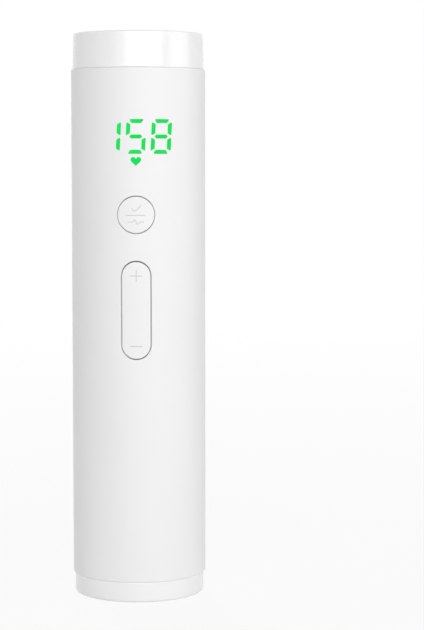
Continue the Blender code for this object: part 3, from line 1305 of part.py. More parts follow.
def make_leads():
    socket_foot = BOARD_FOOT + PROBE_SOCKET_RISE - REST_GAP
    socket_depth = BOARD_BACK - SOLDER_GAP - PROBE_SOCKET_SIZE[2] / 2
    socket_across = PROBE_SOCKET_SIZE[0] / 4
    low = BACKING_TOP + REST_GAP
    for name, look, sign in (("transmit_lead", LEAD_RED, -1), ("receive_lead", LEAD_GREY, 1)):
        end = (sign * socket_across, -socket_depth, socket_foot)
        make_lead(name, look, (sign * LEAD_ACROSS, 0, low), end)
    board_middle = (BOARD_DEPTH + BOARD_BACK) / 2
    start = (0, -board_middle, BOARD_TOP + REST_GAP)
    make_lead("speaker_lead", LEAD_GREY, start, (0, -SPEAKER_LEAD_DEPTH, FRAME_LOW - REST_GAP))


def main():
    body_round = round_bar("body_round", BODY_RADIUS)
    mid_wall = round_bar("mid_wall_round", MID_WALL_RADIUS)
    flange_round = round_bar("flange_round", SPIGOT_RADIUS)
    bay_round = round_bar("bay_round", BAY_CLIP_RADIUS)
    make_front_shell(mid_wall)
    make_rear_shell(mid_wall, bay_round)
    make_battery_door()
    make_top_cap()
    make_probe_cap()
    make_display(body_round)
    make_main_board()
    make_chips()
    make_charge_board()
    make_usb_socket()
    make_ok_button(body_round, flange_round)
    make_rocker(body_round)
    make_switch("ok", OK_Z)
    for side, z in rocker_posts():
        make_switch(side, z)
    make_cell()
    make_contact("battery_contact_negative", LOW_CONTACT_Z)
    make_contact("battery_contact_positive", HIGH_CONTACT_Z)
    make_spring()
    make_screws()
    make_speaker()
    make_probe()
    make_leads()


main()
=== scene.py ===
"""Looks of the handheld fetal doppler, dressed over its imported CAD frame."""

import json
import math

import bmesh
import bpy
import numpy as np
from mathutils import Matrix, Vector
from mathutils.geometry import delaunay_2d_cdt


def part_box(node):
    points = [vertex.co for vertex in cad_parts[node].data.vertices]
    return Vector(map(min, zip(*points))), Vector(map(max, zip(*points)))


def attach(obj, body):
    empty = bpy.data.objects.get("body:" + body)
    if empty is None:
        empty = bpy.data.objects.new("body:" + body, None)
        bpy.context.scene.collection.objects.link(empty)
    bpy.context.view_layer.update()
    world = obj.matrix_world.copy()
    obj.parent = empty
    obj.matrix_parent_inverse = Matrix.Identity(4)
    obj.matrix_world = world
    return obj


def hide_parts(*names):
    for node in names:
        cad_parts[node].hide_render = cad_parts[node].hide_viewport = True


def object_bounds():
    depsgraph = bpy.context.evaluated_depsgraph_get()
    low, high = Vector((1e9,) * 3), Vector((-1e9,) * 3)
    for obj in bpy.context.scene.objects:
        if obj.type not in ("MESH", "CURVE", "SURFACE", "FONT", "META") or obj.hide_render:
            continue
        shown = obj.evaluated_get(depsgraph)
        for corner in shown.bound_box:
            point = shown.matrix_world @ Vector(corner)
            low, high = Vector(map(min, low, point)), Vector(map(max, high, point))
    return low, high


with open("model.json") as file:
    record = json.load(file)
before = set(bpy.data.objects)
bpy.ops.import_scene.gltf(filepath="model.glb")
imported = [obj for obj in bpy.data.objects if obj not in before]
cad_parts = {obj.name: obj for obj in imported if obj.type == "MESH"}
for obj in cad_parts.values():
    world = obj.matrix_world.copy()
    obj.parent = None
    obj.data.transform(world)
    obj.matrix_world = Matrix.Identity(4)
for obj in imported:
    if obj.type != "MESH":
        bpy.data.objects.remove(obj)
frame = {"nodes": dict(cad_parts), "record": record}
cad_low, cad_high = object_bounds()

MM = 0.001

# Body, taken from the frame
BODY_RADIUS = cad_high.x
BODY_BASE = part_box("front_shell")[0].z
BODY_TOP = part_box("front_shell")[1].z
TOTAL_HEIGHT = cad_high.z
SKIN = 1.4 * MM
WALL = 2.0 * MM
SIDE_LINE = 0.1 * MM
EDGE_ROUND = 0.12 * MM
BODY_END_ROUND = 0.22 * MM
TUCK_RADIUS = 18.1 * MM
DOOR_TUCK_RADIUS = 17.9 * MM

# Controls
OK_Z = (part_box("ok_button")[0].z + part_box("ok_button")[1].z) / 2
OK_LINE_RADIUS = 5.15 * MM
OK_GAP = 0.22 * MM
ROCKER_Z = (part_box("volume_rocker")[0].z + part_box("volume_rocker")[1].z) / 2
ROCKER_LINE_WIDTH = 8.2 * MM
ROCKER_LINE_LENGTH = 27.2 * MM
ROCKER_GAP = 0.3 * MM
BUTTON_SKIN = 2.0 * MM
BUTTON_TUCK_RADIUS = 17.8 * MM

# Door and charging slot
DOOR_LINE_WIDTH = 19.9 * MM
DOOR_LINE_HEIGHT = 59.85 * MM
DOOR_LINE_TOP = 127.15 * MM
DOOR_CORNER = 1.75 * MM
DOOR_GAP = 0.27 * MM
DOOR_MARGIN = 0.08 * MM
NOTCH_HALF_WIDTH = 4.35 * MM
NOTCH_FULLNESS = 2.6
NOTCH_DROP = 0.95 * MM
NOTCH_STEPS = 40
SCOOP_DEPTH = 1.12 * MM
SCOOP_ABOVE = 0.14 * MM
SCOOP_ROWS = (0.12, 0.28, 0.5, 0.75)
SOCKET_Z = (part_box("usb_socket_sleeve")[0].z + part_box("usb_socket_sleeve")[1].z) / 2
SOCKET_SLOT_WIDTH = 9.16 * MM
SOCKET_SLOT_HEIGHT = 3.12 * MM

# Lit reading
READING = "158"
READING_Z = 130.07 * MM
HEART_BELOW = 6.92 * MM
HEART_WIDTH = 2.93 * MM
DIGIT_PITCH = 6.97 * MM
BAR_OUT = 2.2 * MM
BAR_UP = 4.21 * MM
BAR_WIDTH = 1.1 * MM
BAR_CORNER = 0.27 * MM
LEVEL_LONG = 4.15 * MM
LEVEL_SHORT = 2.65 * MM
UPRIGHT_LONG = 3.82 * MM
UPRIGHT_SHORT = 2.45 * MM
MIDDLE_LONG = 3.65 * MM
LEAN = 0.05
SLOT_ROOM = 0.02 * MM
LIT_SINK = 0.02 * MM
LIT_BARS = {"1": "bc", "5": "acdfg", "8": "abcdefg"}

# Nodes that look different from the rest of their slot
OWN_FINISH = {"usb_socket_tongue": "socket_moulding"}

# Fineness of the meshes
FINE_STEP = 0.8 * MM
WIDE_STEP = 1.2 * MM
TALL_STEP = 5.0 * MM
ROUND_STEPS = 4
TURNED_SIDES = 160


# Sums on sockets, written as plain expressions


class Value:
    """An output of a node that can take part in sums."""

    def __init__(self, tree, socket):
        self.tree = tree
        self.socket = socket

    def __add__(self, other):
        return self.tree.sum("ADD", self, other)

    def __radd__(self, other):
        return self.tree.sum("ADD", other, self)

    def __sub__(self, other):
        return self.tree.sum("SUBTRACT", self, other)

    def __rsub__(self, other):
        return self.tree.sum("SUBTRACT", other, self)

    def __mul__(self, other):
        return self.tree.sum("MULTIPLY", self, other)

    def __rmul__(self, other):
        return self.tree.sum("MULTIPLY", other, self)

    def __truediv__(self, other):
        return self.tree.sum("DIVIDE", self, other)

    def __gt__(self, other):
        return self.tree.sum("GREATER_THAN", self, other)

    def __lt__(self, other):
        return self.tree.sum("LESS_THAN", self, other)

    def part(self, name):
        """Another output of the same node."""
        return Value(self.tree, self.socket.node.outputs[name])


class NodeTree:
    """A shader or geometry tree with one way to add a node."""

    def __init__(self, tree):
        self.tree = tree

    def add(self, kind, settings=None, inputs=None, out=0):
        node = self.tree.nodes.new(kind)
        for name, setting in (settings or {}).items():
            if name == "stops":
                self.set_stops(node.color_ramp, setting)
            else:
                setattr(node, name, setting)
        for name, given in (inputs or {}).items():
            self.feed(node.inputs[name], given)
        return Value(self, node.outputs[out]) if len(node.outputs) else node

    def feed(self, socket, given):
        if isinstance(given, Value):
            self.tree.links.new(given.socket, socket)
        else:
            socket.default_value = given

    def set_stops(self, ramp, stops):
        while len(ramp.elements) < len(stops):
            ramp.elements.new(1.0)
        for element, (place, colour) in zip(ramp.elements, stops):
            element.position = place
            element.color = colour

    def sum(self, operation, first, second=0.0):
        return self.add("ShaderNodeMath", {"operation": operation}, {0: first, 1: second})

    def xyz(self, vector):
        split = self.add("ShaderNodeSeparateXYZ", inputs={0: vector})
        return split, split.part("Y"), split.part("Z")

    def blend(self, share, first, second):
        """A colour between two colours."""
        return self.add(
            "ShaderNodeMix", {"data_type": "RGBA"}, {0: share, 6: first, 7: second}, out=2
        )

    def spot(self, stretch=None):
        """Where a point is on the object, with its pattern stretched if asked."""
        place = self.add("ShaderNodeTexCoord", out="Object")
        if stretch is None:
            return place
        return self.add("ShaderNodeMapping", inputs={"Vector": place, "Scale": stretch})

    def noise(self, place, scale, detail=2.0, roughness=0.5):
        sockets = {"Vector": place, "Scale": scale, "Detail": detail, "Roughness": roughness}
        return self.add("ShaderNodeTexNoise", inputs=sockets)

    def bump(self, height, strength, distance):
        sockets = {"Height": height, "Strength": strength, "Distance": distance}
        return self.add("ShaderNodeBump", inputs=sockets)


def grey(level):
    return (level, level, level, 1.0)


def colour(red, green, blue):
    return (red, green, blue, 1.0)


# Finishes


def new_finish(name, **sockets):
    """A material with its surface node. What is equal all over the surface is set on its sockets."""
    made = bpy.data.materials.new(name)
    made.use_nodes = True
    surface = made.node_tree.nodes["Principled BSDF"]
    for key, setting in sockets.items():
        surface.inputs[key.replace("_", " ")].default_value = setting
    return made, NodeTree(made.node_tree), surface


def satin_white():
    """Matte white moulding with a fine spark texture."""
    made, tree, surface = new_finish("satin_white", IOR=1.47)
    place = tree.spot()
    cloud = tree.noise(place, 55.0, 3.0)
    grain = tree.noise(place, 5200.0, 2.0, 0.6)
    tree.feed(surface.inputs["Base Color"], tree.blend(cloud, grey(0.872), grey(0.892)))
    tree.feed(surface.inputs["Roughness"], 0.4 + 0.08 * cloud + 0.05 * grain)
    tree.feed(surface.inputs["Normal"], tree.bump(grain, 0.12, 0.00001))
    return made


def gloss_white():
    """Polished white moulding."""
    made, tree, surface = new_finish("gloss_white", IOR=1.5, Coat_Roughness=0.1)
    place = tree.spot()
    cloud = tree.noise(place, 70.0, 2.0)
    ripple = tree.noise(place, 260.0, 1.0)
    tree.feed(surface.inputs["Base Color"], tree.blend(cloud, grey(0.905), grey(0.92)))
    tree.feed(surface.inputs["Roughness"], 0.18 + 0.06 * cloud)
    tree.feed(surface.inputs["Coat Weight"], 0.4 + 0.1 * cloud)
    tree.feed(surface.inputs["Normal"], tree.bump(ripple, 0.08, 0.00002))
    return made


def lit_green():
    """Light that glows through the skin, a little uneven across the reading."""
    made, tree, surface = new_finish("lit_green", Emission_Strength=1.0, Roughness=0.6, Specular_IOR_Level=0.1)
    place = tree.spot()
    glow = tree.noise(place, 420.0, 2.0)
    tree.feed(surface.inputs["Base Color"], tree.blend(glow, colour(0.0, 0.05, 0.008), colour(0.002, 0.08, 0.012)))
    tree.feed(surface.inputs["Emission Color"], tree.blend(glow, colour(0.004, 0.64, 0.088), colour(0.008, 0.74, 0.11)))
    return made


def legend_ink():
    """Pale grey pad print."""
    made, tree, surface = new_finish("legend_ink", IOR=1.45)
    cloud = tree.noise(tree.spot(), 1500.0, 3.0)
    tree.feed(surface.inputs["Base Color"], tree.blend(cloud, grey(0.6), grey(0.68)))
    tree.feed(surface.inputs["Roughness"], 0.5 + 0.1 * cloud)
    return made


def board_green():
    """Solder mask over tracks, with tinned pads."""
    made, tree, surface = new_finish("board_green", IOR=1.5)
    place = tree.spot()
    tracks = tree.add(
        "ShaderNodeTexBrick",
        {"offset": 0.35},
        {
            "Vector": tree.spot((1.0, 0.0, 1.0)),
            "Scale": 420.0,
            "Mortar Size": 0.06,
            "Brick Width": 1.3,
            "Row Height": 0.4,
        },
        out="Fac",
    )
    cells = tree.add("ShaderNodeTexVoronoi", inputs={"Vector": place, "Scale": 330.0, "Randomness": 0.5})
    pads = cells < 0.16
    mask = tree.blend(tracks, colour(0.008, 0.12, 0.045), colour(0.02, 0.22, 0.085))
    tree.feed(surface.inputs["Base Color"], tree.blend(pads, mask, colour(0.72, 0.66, 0.52)))
    tree.feed(surface.inputs["Metallic"], pads)
    tree.feed(surface.inputs["Roughness"], 0.32 + 0.12 * tracks)
    tree.feed(surface.inputs["Normal"], tree.bump(tracks + pads, 0.4, 0.00003))
    return made


def moulded(name, dark, light, roughness, grain_scale=2400.0, depth=0.00002):
    """A moulded plastic, rubber or felt with a fine grain."""
    made, tree, surface = new_finish(name, IOR=1.5)
    place = tree.spot()
    cloud = tree.noise(place, 160.0, 3.0)
    grain = tree.noise(place, grain_scale, 3.0, 0.6)
    tree.feed(surface.inputs["Base Color"], tree.blend(cloud, dark, light))
    tree.feed(surface.inputs["Roughness"], roughness + 0.1 * grain)
    tree.feed(surface.inputs["Normal"], tree.bump(grain, 0.5, depth))
    return made


def drawn_metal(name, dark, light, roughness, stretch=(1.0, 1.0, 30.0)):
    """A drawn or rolled metal with fine lines along it."""
    made, tree, surface = new_finish(name, Metallic=1.0)
    lines = tree.noise(tree.spot(stretch), 700.0, 3.0, 0.6)
    cloud = tree.noise(tree.spot(), 130.0, 2.0)
    tree.feed(surface.inputs["Base Color"], tree.blend(cloud, dark, light))
    tree.feed(surface.inputs["Roughness"], roughness + 0.12 * lines)
    tree.feed(surface.inputs["Normal"], tree.bump(lines, 0.25, 0.00001))
    return made


def cell_jacket():
    """A plain blue sleeve with one pale ring, and bare metal at both ends."""
    low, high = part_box("battery_cell")
    middle = (low + high) / 2
    made, tree, surface = new_finish("cell_jacket", IOR=1.5)
    x, y, z = tree.xyz(tree.spot())
    off_x = x - middle.x
    off_y = y - middle.y
    reach = tree.sum("SQRT", off_x * off_x + off_y * off_y)
    past_ends = (z > high.z - 0.9 * MM) + (z < low.z + 0.05 * MM)
    bare = tree.sum("MINIMUM", past_ends * (reach < 5.5 * MM), 1.0)
    ring = (z > high.z - 8.0 * MM) * (z < high.z - 5.6 * MM)
    cloud = tree.noise(tree.spot((1.0, 1.0, 6.0)), 300.0, 3.0)
    sleeve = tree.blend(cloud, colour(0.028, 0.085, 0.24), colour(0.036, 0.11, 0.3))
    marked = tree.blend(ring, sleeve, grey(0.62))
    tree.feed(surface.inputs["Base Color"], tree.blend(bare, marked, colour(0.66, 0.65, 0.62)))
    tree.feed(surface.inputs["Metallic"], bare)
    tree.feed(surface.inputs["Roughness"], 0.3 + 0.1 * cloud)
    tree.feed(surface.inputs["Normal"], tree.bump(cloud, 0.15, 0.00003))
    return made


def make_finishes():
    return {
        "satin_white": satin_white(),
        "gloss_white": gloss_white(),
        "lit_green": lit_green(),
        "board_green": board_green(),
        "black_moulding": moulded("black_moulding", grey(0.012), grey(0.02), 0.5),
        "dark_plastic": moulded("dark_plastic", colour(0.022, 0.018, 0.018), colour(0.035, 0.028, 0.028), 0.45),
        "socket_moulding": moulded("socket_moulding", colour(0.092, 0.052, 0.05), colour(0.12, 0.068, 0.065), 0.45),
        "steel": drawn_metal("steel", grey(0.5), grey(0.6), 0.24),
        "dark_steel": drawn_metal("dark_steel", colour(0.72, 0.5, 0.49), colour(0.8, 0.57, 0.56), 0.34),
        "nickel": drawn_metal("nickel", colour(0.6, 0.57, 0.5), colour(0.7, 0.67, 0.6), 0.22),
        "cell_jacket": cell_jacket(),
        "grey_felt": moulded("grey_felt", grey(0.1), grey(0.18), 0.85, 3600.0, 0.0001),
        "cone_paper": moulded("cone_paper", grey(0.04), grey(0.07), 0.8, 1500.0, 0.00006),
        "piezo_ceramic": moulded("piezo_ceramic", colour(0.66, 0.58, 0.42), colour(0.76, 0.69, 0.54), 0.5),
        "backing_rubber": moulded("backing_rubber", colour(0.16, 0.07, 0.05), colour(0.24, 0.11, 0.08), 0.8),
        "seal_rubber": moulded("seal_rubber", grey(0.02), grey(0.035), 0.65),
        "copper_sheet": drawn_metal("copper_sheet", colour(0.64, 0.32, 0.2), colour(0.76, 0.42, 0.28), 0.3),
        "lead_red": moulded("lead_red", colour(0.45, 0.02, 0.015), colour(0.56, 0.035, 0.025), 0.42),
        "lead_grey": moulded("lead_grey", grey(0.26), grey(0.33), 0.42),
        "legend_ink": legend_ink(),
    }


# Lines on the front view, as points and the way out of each line


def arc_spots(middle, radius, start, end, steps):
    """Points of an arc and the way out at each. The angles are in degrees."""
    spots = []
    for i in range(steps + 1):
        angle = math.radians(start + (end - start) * i / steps)
        way = Vector((math.cos(angle), math.sin(angle)))
        spots.append((Vector(middle) + way * radius, way))
    return spots


def rounded_line(middle, width, height, corner, steps):
    """A rounded rectangle, a stadium or a circle, with its straight sides divided finely."""
    across = max(width / 2 - corner, 0.0)
    up = max(height / 2 - corner, 0.0)
    corners = ((across, up, 0), (-across, up, 90), (-across, -up, 180), (across, -up, 270))
    spots = []
    for u, v, start in corners:
        spots += arc_spots((middle[0] + u, middle[1] + v), corner, start, start + 90, steps)
    return divided(spots)


def divided(spots):
    """The same closed line without doubled points, and with no stretch longer than the fine step."""
    kept = [s for i, s in enumerate(spots) if (s[0] - spots[i - 1][0]).length > 0.001 * MM]
    found = []
    for i, (here, way) in enumerate(kept):
        there, next_way = kept[(i + 1) % len(kept)]
        count = max(1, math.ceil((there - here).length / FINE_STEP))
        for k in range(count):
            share = k / count
            turned = way.lerp(next_way, share)
            found.append((here.lerp(there, share), turned.normalized()))
    return found


def polygon_line(corners, rounding=0.0):
    """A line through corners, each one rounded if asked, divided finely."""
    count = len(corners)
    points = []
    for i, corner in enumerate(corners):
        if not rounding:
            points.append(Vector(corner))
            continue
        back = (corners[i - 1] - corner).normalized()
        on = (corners[(i + 1) % count] - corner).normalized()
        run = rounding / math.tan(back.angle(on) / 2)
        for k in range(ROUND_STEPS + 1):
            share = k / ROUND_STEPS
            points.append(corner + back * run * (1 - share) ** 2 + on * run * share**2)
    spots = []
    for i, point in enumerate(points):
        along = (points[(i + 1) % len(points)] - points[i - 1]).normalized()
        spots.append((point, Vector((along.y, -along.x))))
    return divided(spots)


# The lit reading


def leaned(points, shift):
    return [Vector((p.x + shift + p.y * LEAN, p.y + READING_Z)) for p in points]


def bar_corners(outward, middle, long_side, short_side, grow):
    angle = math.radians(outward)
    out = Vector((math.cos(angle), math.sin(angle)))
    along = Vector((-out.y, out.x))
    half = BAR_WIDTH / 2 + grow
    corners = (
        (half, -long_side / 2 - grow),
        (half, long_side / 2 + grow),
        (-half, short_side / 2 + grow),
        (-half, -short_side / 2 - grow),
    )
    return [Vector(middle) + out * n + along * t for n, t in corners]


def digit_corners(digit, grow):
    level = (LEVEL_LONG, LEVEL_SHORT, grow)
    upright = (UPRIGHT_LONG, UPRIGHT_SHORT, grow)
    half = BAR_WIDTH / 2 + grow
    flat = LEVEL_SHORT / 2
    tip = MIDDLE_LONG / 2 + grow
    middle = [(-tip, 0), (-flat, -half), (flat, -half), (tip, 0), (flat, half), (-flat, half)]
    bars = {
        "a": bar_corners(90, (0, BAR_UP), *level),
        "b": bar_corners(0, (BAR_OUT, BAR_UP / 2), *upright),
        "c": bar_corners(0, (BAR_OUT, -BAR_UP / 2), *upright),
        "d": bar_corners(270, (0, -BAR_UP), *level),
        "e": bar_corners(180, (-BAR_OUT, -BAR_UP / 2), *upright),
        "f": bar_corners(180, (-BAR_OUT, BAR_UP / 2), *upright),
        "g": [Vector(p) for p in middle],
    }
    return [bars[letter] for letter in LIT_BARS[digit]]


def heart_corners(grow):
    scale = (HEART_WIDTH + 2 * grow) / 32
    points = []
    for i in range(40):
        t = -2 * math.pi * i / 40
        across = 16 * math.sin(t) ** 3
        up = 13 * math.cos(t) - 5 * math.cos(2 * t) - 2 * math.cos(3 * t) - math.cos(4 * t)
        points.append(Vector((scale * across, scale * (up + 2.5) - HEART_BELOW + READING_Z)))
    return points


def lit_lines(grow):
    """Every lit bar and the heart, as closed lines that turn one way."""
    found = [polygon_line(heart_corners(grow))]
    for place, digit in enumerate(READING):
        shift = (place - (len(READING) - 1) / 2) * DIGIT_PITCH
        for corners in digit_corners(digit, grow):
            found.append(polygon_line(leaned(corners, shift), BAR_CORNER + grow))
    return found


# Curved plates


def on_body(x, z, depth):
    """A point of the front view laid on the body, this deep under its face."""
    radius = BODY_RADIUS - depth
    return Vector((x, -math.sqrt(radius * radius - x * x), z))


def unrolled(point):
    return (BODY_RADIUS * math.atan2(point.x, -point.y), point.z)


class Rim:
    """An edge of a plate: its line, and whether the plate lies inside or outside it."""

    def __init__(self, line, hole, rounding=EDGE_ROUND):
        self.line = line
        self.sign = -1.0 if hole else 1.0
        self.rounding = rounding

    def ring(self, inset, depth):
        return [on_body(*(p - way * self.sign * inset), depth) for p, way in self.line]

    def ways(self):
        return [way * self.sign for p, way in self.line]


class HalfRim:
    """The four edges of one half of the body tube."""

    def __init__(self, low, high, rounding=EDGE_ROUND):
        self.low = low
        self.high = high
        self.rounding = rounding
        self.across = math.ceil(math.pi * BODY_RADIUS / WIDE_STEP)
        self.tall = math.ceil((high - low) / TALL_STEP)

    def ring(self, inset, depth):
        radius = BODY_RADIUS - depth
        reach = math.acos((SIDE_LINE / 2 + inset) / radius)
        low = self.low + inset
        high = self.high - inset
        spots = [(-reach + 2 * reach * i / self.across, low) for i in range(self.across)]
        spots += [(reach, low + (high - low) * i / self.tall) for i in range(self.tall)]
        spots += [(reach - 2 * reach * i / self.across, high) for i in range(self.across)]
        spots += [(-reach, high + (low - high) * i / self.tall) for i in range(self.tall)]
        return [Vector((radius * math.sin(a), -radius * math.cos(a), z)) for a, z in spots]

    def ways(self):
        return (
            [Vector((0, -1))] * self.across
            + [Vector((1, 0))] * self.tall
            + [Vector((0, 1))] * self.across
            + [Vector((-1, 0))] * self.tall
        )


def inside_loops(points, loops):
    """Which points lie inside the first loop and outside the others."""
    inside = np.zeros(len(points), bool)
    for loop in loops:
        for (ax, az), (bx, bz) in zip(loop, loop[1:] + loop[:1]):
            if az == bz:
                continue
            crosses = (az > points[:, 1]) != (bz > points[:, 1])
            reach = ax + (points[:, 1] - az) * (bx - ax) / (bz - az)
            inside ^= crosses & (points[:, 0] < reach)
    return inside


def fill_between(loops, chains, extra, steps):
    """Points inside the loops, and the triangles that fill the space between the loops."""
    edge = np.array([p for loop in loops for p in loop])
    low, high = edge.min(0), edge.max(0)
    counts = np.maximum(2, np.ceil((high - low) / np.array(steps)).astype(int))
    columns = np.linspace(low[0], high[0], counts[0] + 1)[1:-1]
    rows = np.linspace(low[1], high[1], counts[1] + 1)[1:-1]
    grid = np.array([(u, z) for u in columns for z in rows])
    grid = grid[inside_loops(grid, loops)]
    near = min(steps) * 0.45
    away = [np.hypot(*(edge - p).T).min() > near for p in grid]
    inner = [tuple(p) for p in grid[np.array(away, bool)]] + list(extra)
    inner = [p for p in inner if inside_loops(np.array([p]), loops)[0]]
    points = [tuple(p) for p in edge] + inner
    edges = []
    start = 0
    for loop in loops:
        count = len(loop)
        edges += [(start + i, start + (i + 1) % count) for i in range(count)]
        start += count
    for chain in chains:
        first = len(points)
        points += chain
        edges += [(first + i, first + i + 1) for i in range(len(chain) - 1)]
    made = delaunay_2d_cdt([Vector(p) for p in points], edges, [], 0, 1e-9, True)
    spots = [tuple(p) for p in made[0]]
    sources = [own[0] if own else None for own in made[3]]
    centres = np.array([np.mean([spots[i] for i in face], axis=0) for face in made[2]])
    kept = inside_loops(centres, loops)
    return spots, sources, [face for face, keep in zip(made[2], kept) if keep]


class Plate:
    """A curved plate being built: its face follows the body, its back lies at a depth."""

    def __init__(self):
        self.mesh = bmesh.new()
        self.way = self.mesh.verts.layers.float_vector.new("way")
        self.kind = self.mesh.faces.layers.int.new("kind")

    def vertex(self, point, way):
        made = self.mesh.verts.new(point)
        made[self.way] = way
        return made

    def face(self, corners, kind):
        if len(set(corners)) < 3:
            return
        made = self.mesh.faces.new(corners)
        made[self.kind] = kind
        made.smooth = True

    def skin(self, rings, depth, kind, chains=(), extra=(), steps=(WIDE_STEP, TALL_STEP)):
        """Fills between rings of vertices at one depth."""
        loops = [[unrolled(v.co) for v in ring] for ring in rings]
        known = [v for ring in rings for v in ring]
        spots, sources, faces = fill_between(loops, chains, extra, steps)
        used = {i for face in faces for i in face}
        vertices = {}
        radius = BODY_RADIUS - depth
        for i in used:
            source = sources[i]
            if source is not None and source < len(known):
                vertices[i] = known[source]
                continue
            angle = spots[i][0] / BODY_RADIUS
            way = Vector((math.sin(angle), -math.cos(angle), 0))
            place = Vector((radius * way.x, radius * way.y, spots[i][1]))
            vertices[i] = self.vertex(place, way)
        for face in faces:
            self.face([vertices[i] for i in face], kind)

    def edge(self, rim, depth):
        """Rounds an edge over and runs it down to the back. Gives the ring on the face and the ring on the back."""
        rings = []
        steps = ROUND_STEPS if rim.rounding else 0
        turns = [math.pi / 2 * k / steps for k in range(steps + 1)] if steps else [0.0]
        for turn in turns:
            inset = rim.rounding * (1 - math.sin(turn))
            down = rim.rounding * (1 - math.cos(turn))
            ring = []
            for point, out in zip(rim.ring(inset, down), rim.ways()):
                radial = Vector((point.x, point.y, 0)).normalized()
                sideways = Vector((-radial.y, radial.x, 0)) * out.x + Vector((0, 0, out.y))
                way = radial * math.cos(turn) + sideways * math.sin(turn)
                ring.append(self.vertex(point, way.normalized()))
            rings.append(ring)
        rings.append([self.vertex(point, (0, 0, 0)) for point in rim.ring(0.0, depth)])
        for k, (upper, lower) in enumerate(zip(rings, rings[1:])):
            kind = 1 if k == len(rings) - 2 else 0
            for i in range(len(upper)):
                j = (i + 1) % len(upper)
                self.face([upper[i], upper[j], lower[j], lower[i]], kind)
        return rings[0], rings[-1]

    def body(self, rims, depth, chains=(), extra=(), steps=(WIDE_STEP, TALL_STEP)):
        """A whole plate with its outer rim first and its holes after."""
        pairs = [self.edge(rim, depth) for rim in rims]
        self.skin([face for face, back in pairs], 0.0, 0, chains, extra, steps)
        self.skin([back for face, back in pairs], depth, 1, steps=steps)

    def add_inside(self, node, tuck_radius, bite=None, margin=0.0):
        """A copy of a CAD node, less a bite and a margin if asked, with its outer side tucked under the plate."""
        copy = bmesh.new()
        copy.from_mesh(frame["nodes"][node].data)
        bmesh.ops.remove_doubles(copy, verts=copy.verts, dist=0.0005 * MM)
        if bite:
            copy = less_bite(copy, bite)
        low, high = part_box(node)
        middle = (low + high) / 2
        half = (high - low) / 2
        made = {}
        for v in copy.verts:
            reach = math.hypot(v.co.x, v.co.y)
            place = v.co.copy()
            place.x -= (place.x - middle.x) * margin / half.x
            place.z -= (place.z - middle.z) * margin / half.z
            if reach > tuck_radius:
                place.x *= tuck_radius / reach
                place.y *= tuck_radius / reach
            made[v.index] = self.vertex(place, (0, 0, 0))
        for f in copy.faces:
            self.face([made[v.index] for v in f.verts], 2)
        copy.free()

    def turn_to_rear(self):
        """The same plate on the other side of the body."""
        for v in self.mesh.verts:
            v.co = Vector((-v.co.x, -v.co.y, v.co.z))
            way = v[self.way]
            v[self.way] = Vector((-way.x, -way.y, way.z))

    def finish(self, name, finish):
        """Turns the plate into an object with exact normals on its face."""
        outer = [f for f in self.mesh.faces if f[self.kind] != 2]
        bmesh.ops.recalc_face_normals(self.mesh, faces=outer)
        data = bpy.data.meshes.new(name)
        self.mesh.to_mesh(data)
        self.mesh.free()
        data.set_sharp_from_angle(angle=math.radians(35))
        count = len(data.loops)
        ways = np.zeros(len(data.vertices) * 3, np.float32)
        data.attributes["way"].data.foreach_get("vector", ways)
        ways = ways.reshape(-1, 3)
        kinds = np.zeros(len(data.polygons), np.int32)
        data.attributes["kind"].data.foreach_get("value", kinds)
        corners = np.zeros(count, np.int32)
        data.loops.foreach_get("vertex_index", corners)
        sizes = np.zeros(len(data.polygons), np.int32)
        data.polygons.foreach_get("loop_total", sizes)
        exact = np.repeat(kinds == 0, sizes)
        normals = np.where(exact[:, None], ways[corners], 0.0)
        for spare in ("way", "kind"):
            data.attributes.remove(data.attributes[spare])
        data.normals_split_custom_set(normals.tolist())
        data.materials.append(finish)
        made = bpy.data.objects.new(name, data)
        bpy.context.scene.collection.objects.link(made)
        return made


# Turned pieces and other pieces that follow a rule, made with geometry nodes


class GeometryTree(NodeTree):
    """A geometry tree with named inputs that ends in real geometry with its finish."""

    def __init__(self, name, sizes):
        super().__init__(bpy.data.node_groups.new(name, "GeometryNodeTree"))
        face = self.tree.interface
        face.new_socket("Geometry", in_out="INPUT", socket_type="NodeSocketGeometry")
        self.keys = {}
        for key, kind in {**sizes, "Finish": "Material"}.items():
            made = face.new_socket(key, in_out="INPUT", socket_type="NodeSocket" + kind)
            self.keys[key] = made.identifier
        face.new_socket("Geometry", in_out="OUTPUT", socket_type="NodeSocketGeometry")
        self.given = self.add("NodeGroupInput")

    def size(self, name):
        return self.given.part(name)

    def close(self, geometry):
        real = self.add("GeometryNodeRealizeInstances", inputs={0: geometry})
        dressed = self.add("GeometryNodeSetMaterial", inputs={"Geometry": real, "Material": self.size("Finish")})
        self.add("NodeGroupOutput", inputs={0: dressed})
        return self

    def grow(self, name, base, finish, **sizes):
        """Runs the tree on a base mesh or curve and keeps the result as a plain mesh."""
        seed = bpy.data.objects.new(name + "_seed", base)
        bpy.context.scene.collection.objects.link(seed)
        step = seed.modifiers.new(name, "NODES")
        step.node_group = self.tree
        for key, value in sizes.items():
            step[self.keys[key]] = value
        step[self.keys["Finish"]] = finish
        bpy.context.view_layer.update()
        graph = bpy.context.evaluated_depsgraph_get()
        data = bpy.data.meshes.new_from_object(seed.evaluated_get(graph), depsgraph=graph)
        bpy.data.objects.remove(seed)
        shape = bmesh.new()
        shape.from_mesh(data)
        bmesh.ops.recalc_face_normals(shape, faces=shape.faces)
        shape.to_mesh(data)
        shape.free()
        data.shade_smooth()
        data.set_sharp_from_angle(angle=math.radians(35))
        data.name = name
        made = bpy.data.objects.new(name, data)
        bpy.context.scene.collection.objects.link(made)
        return made


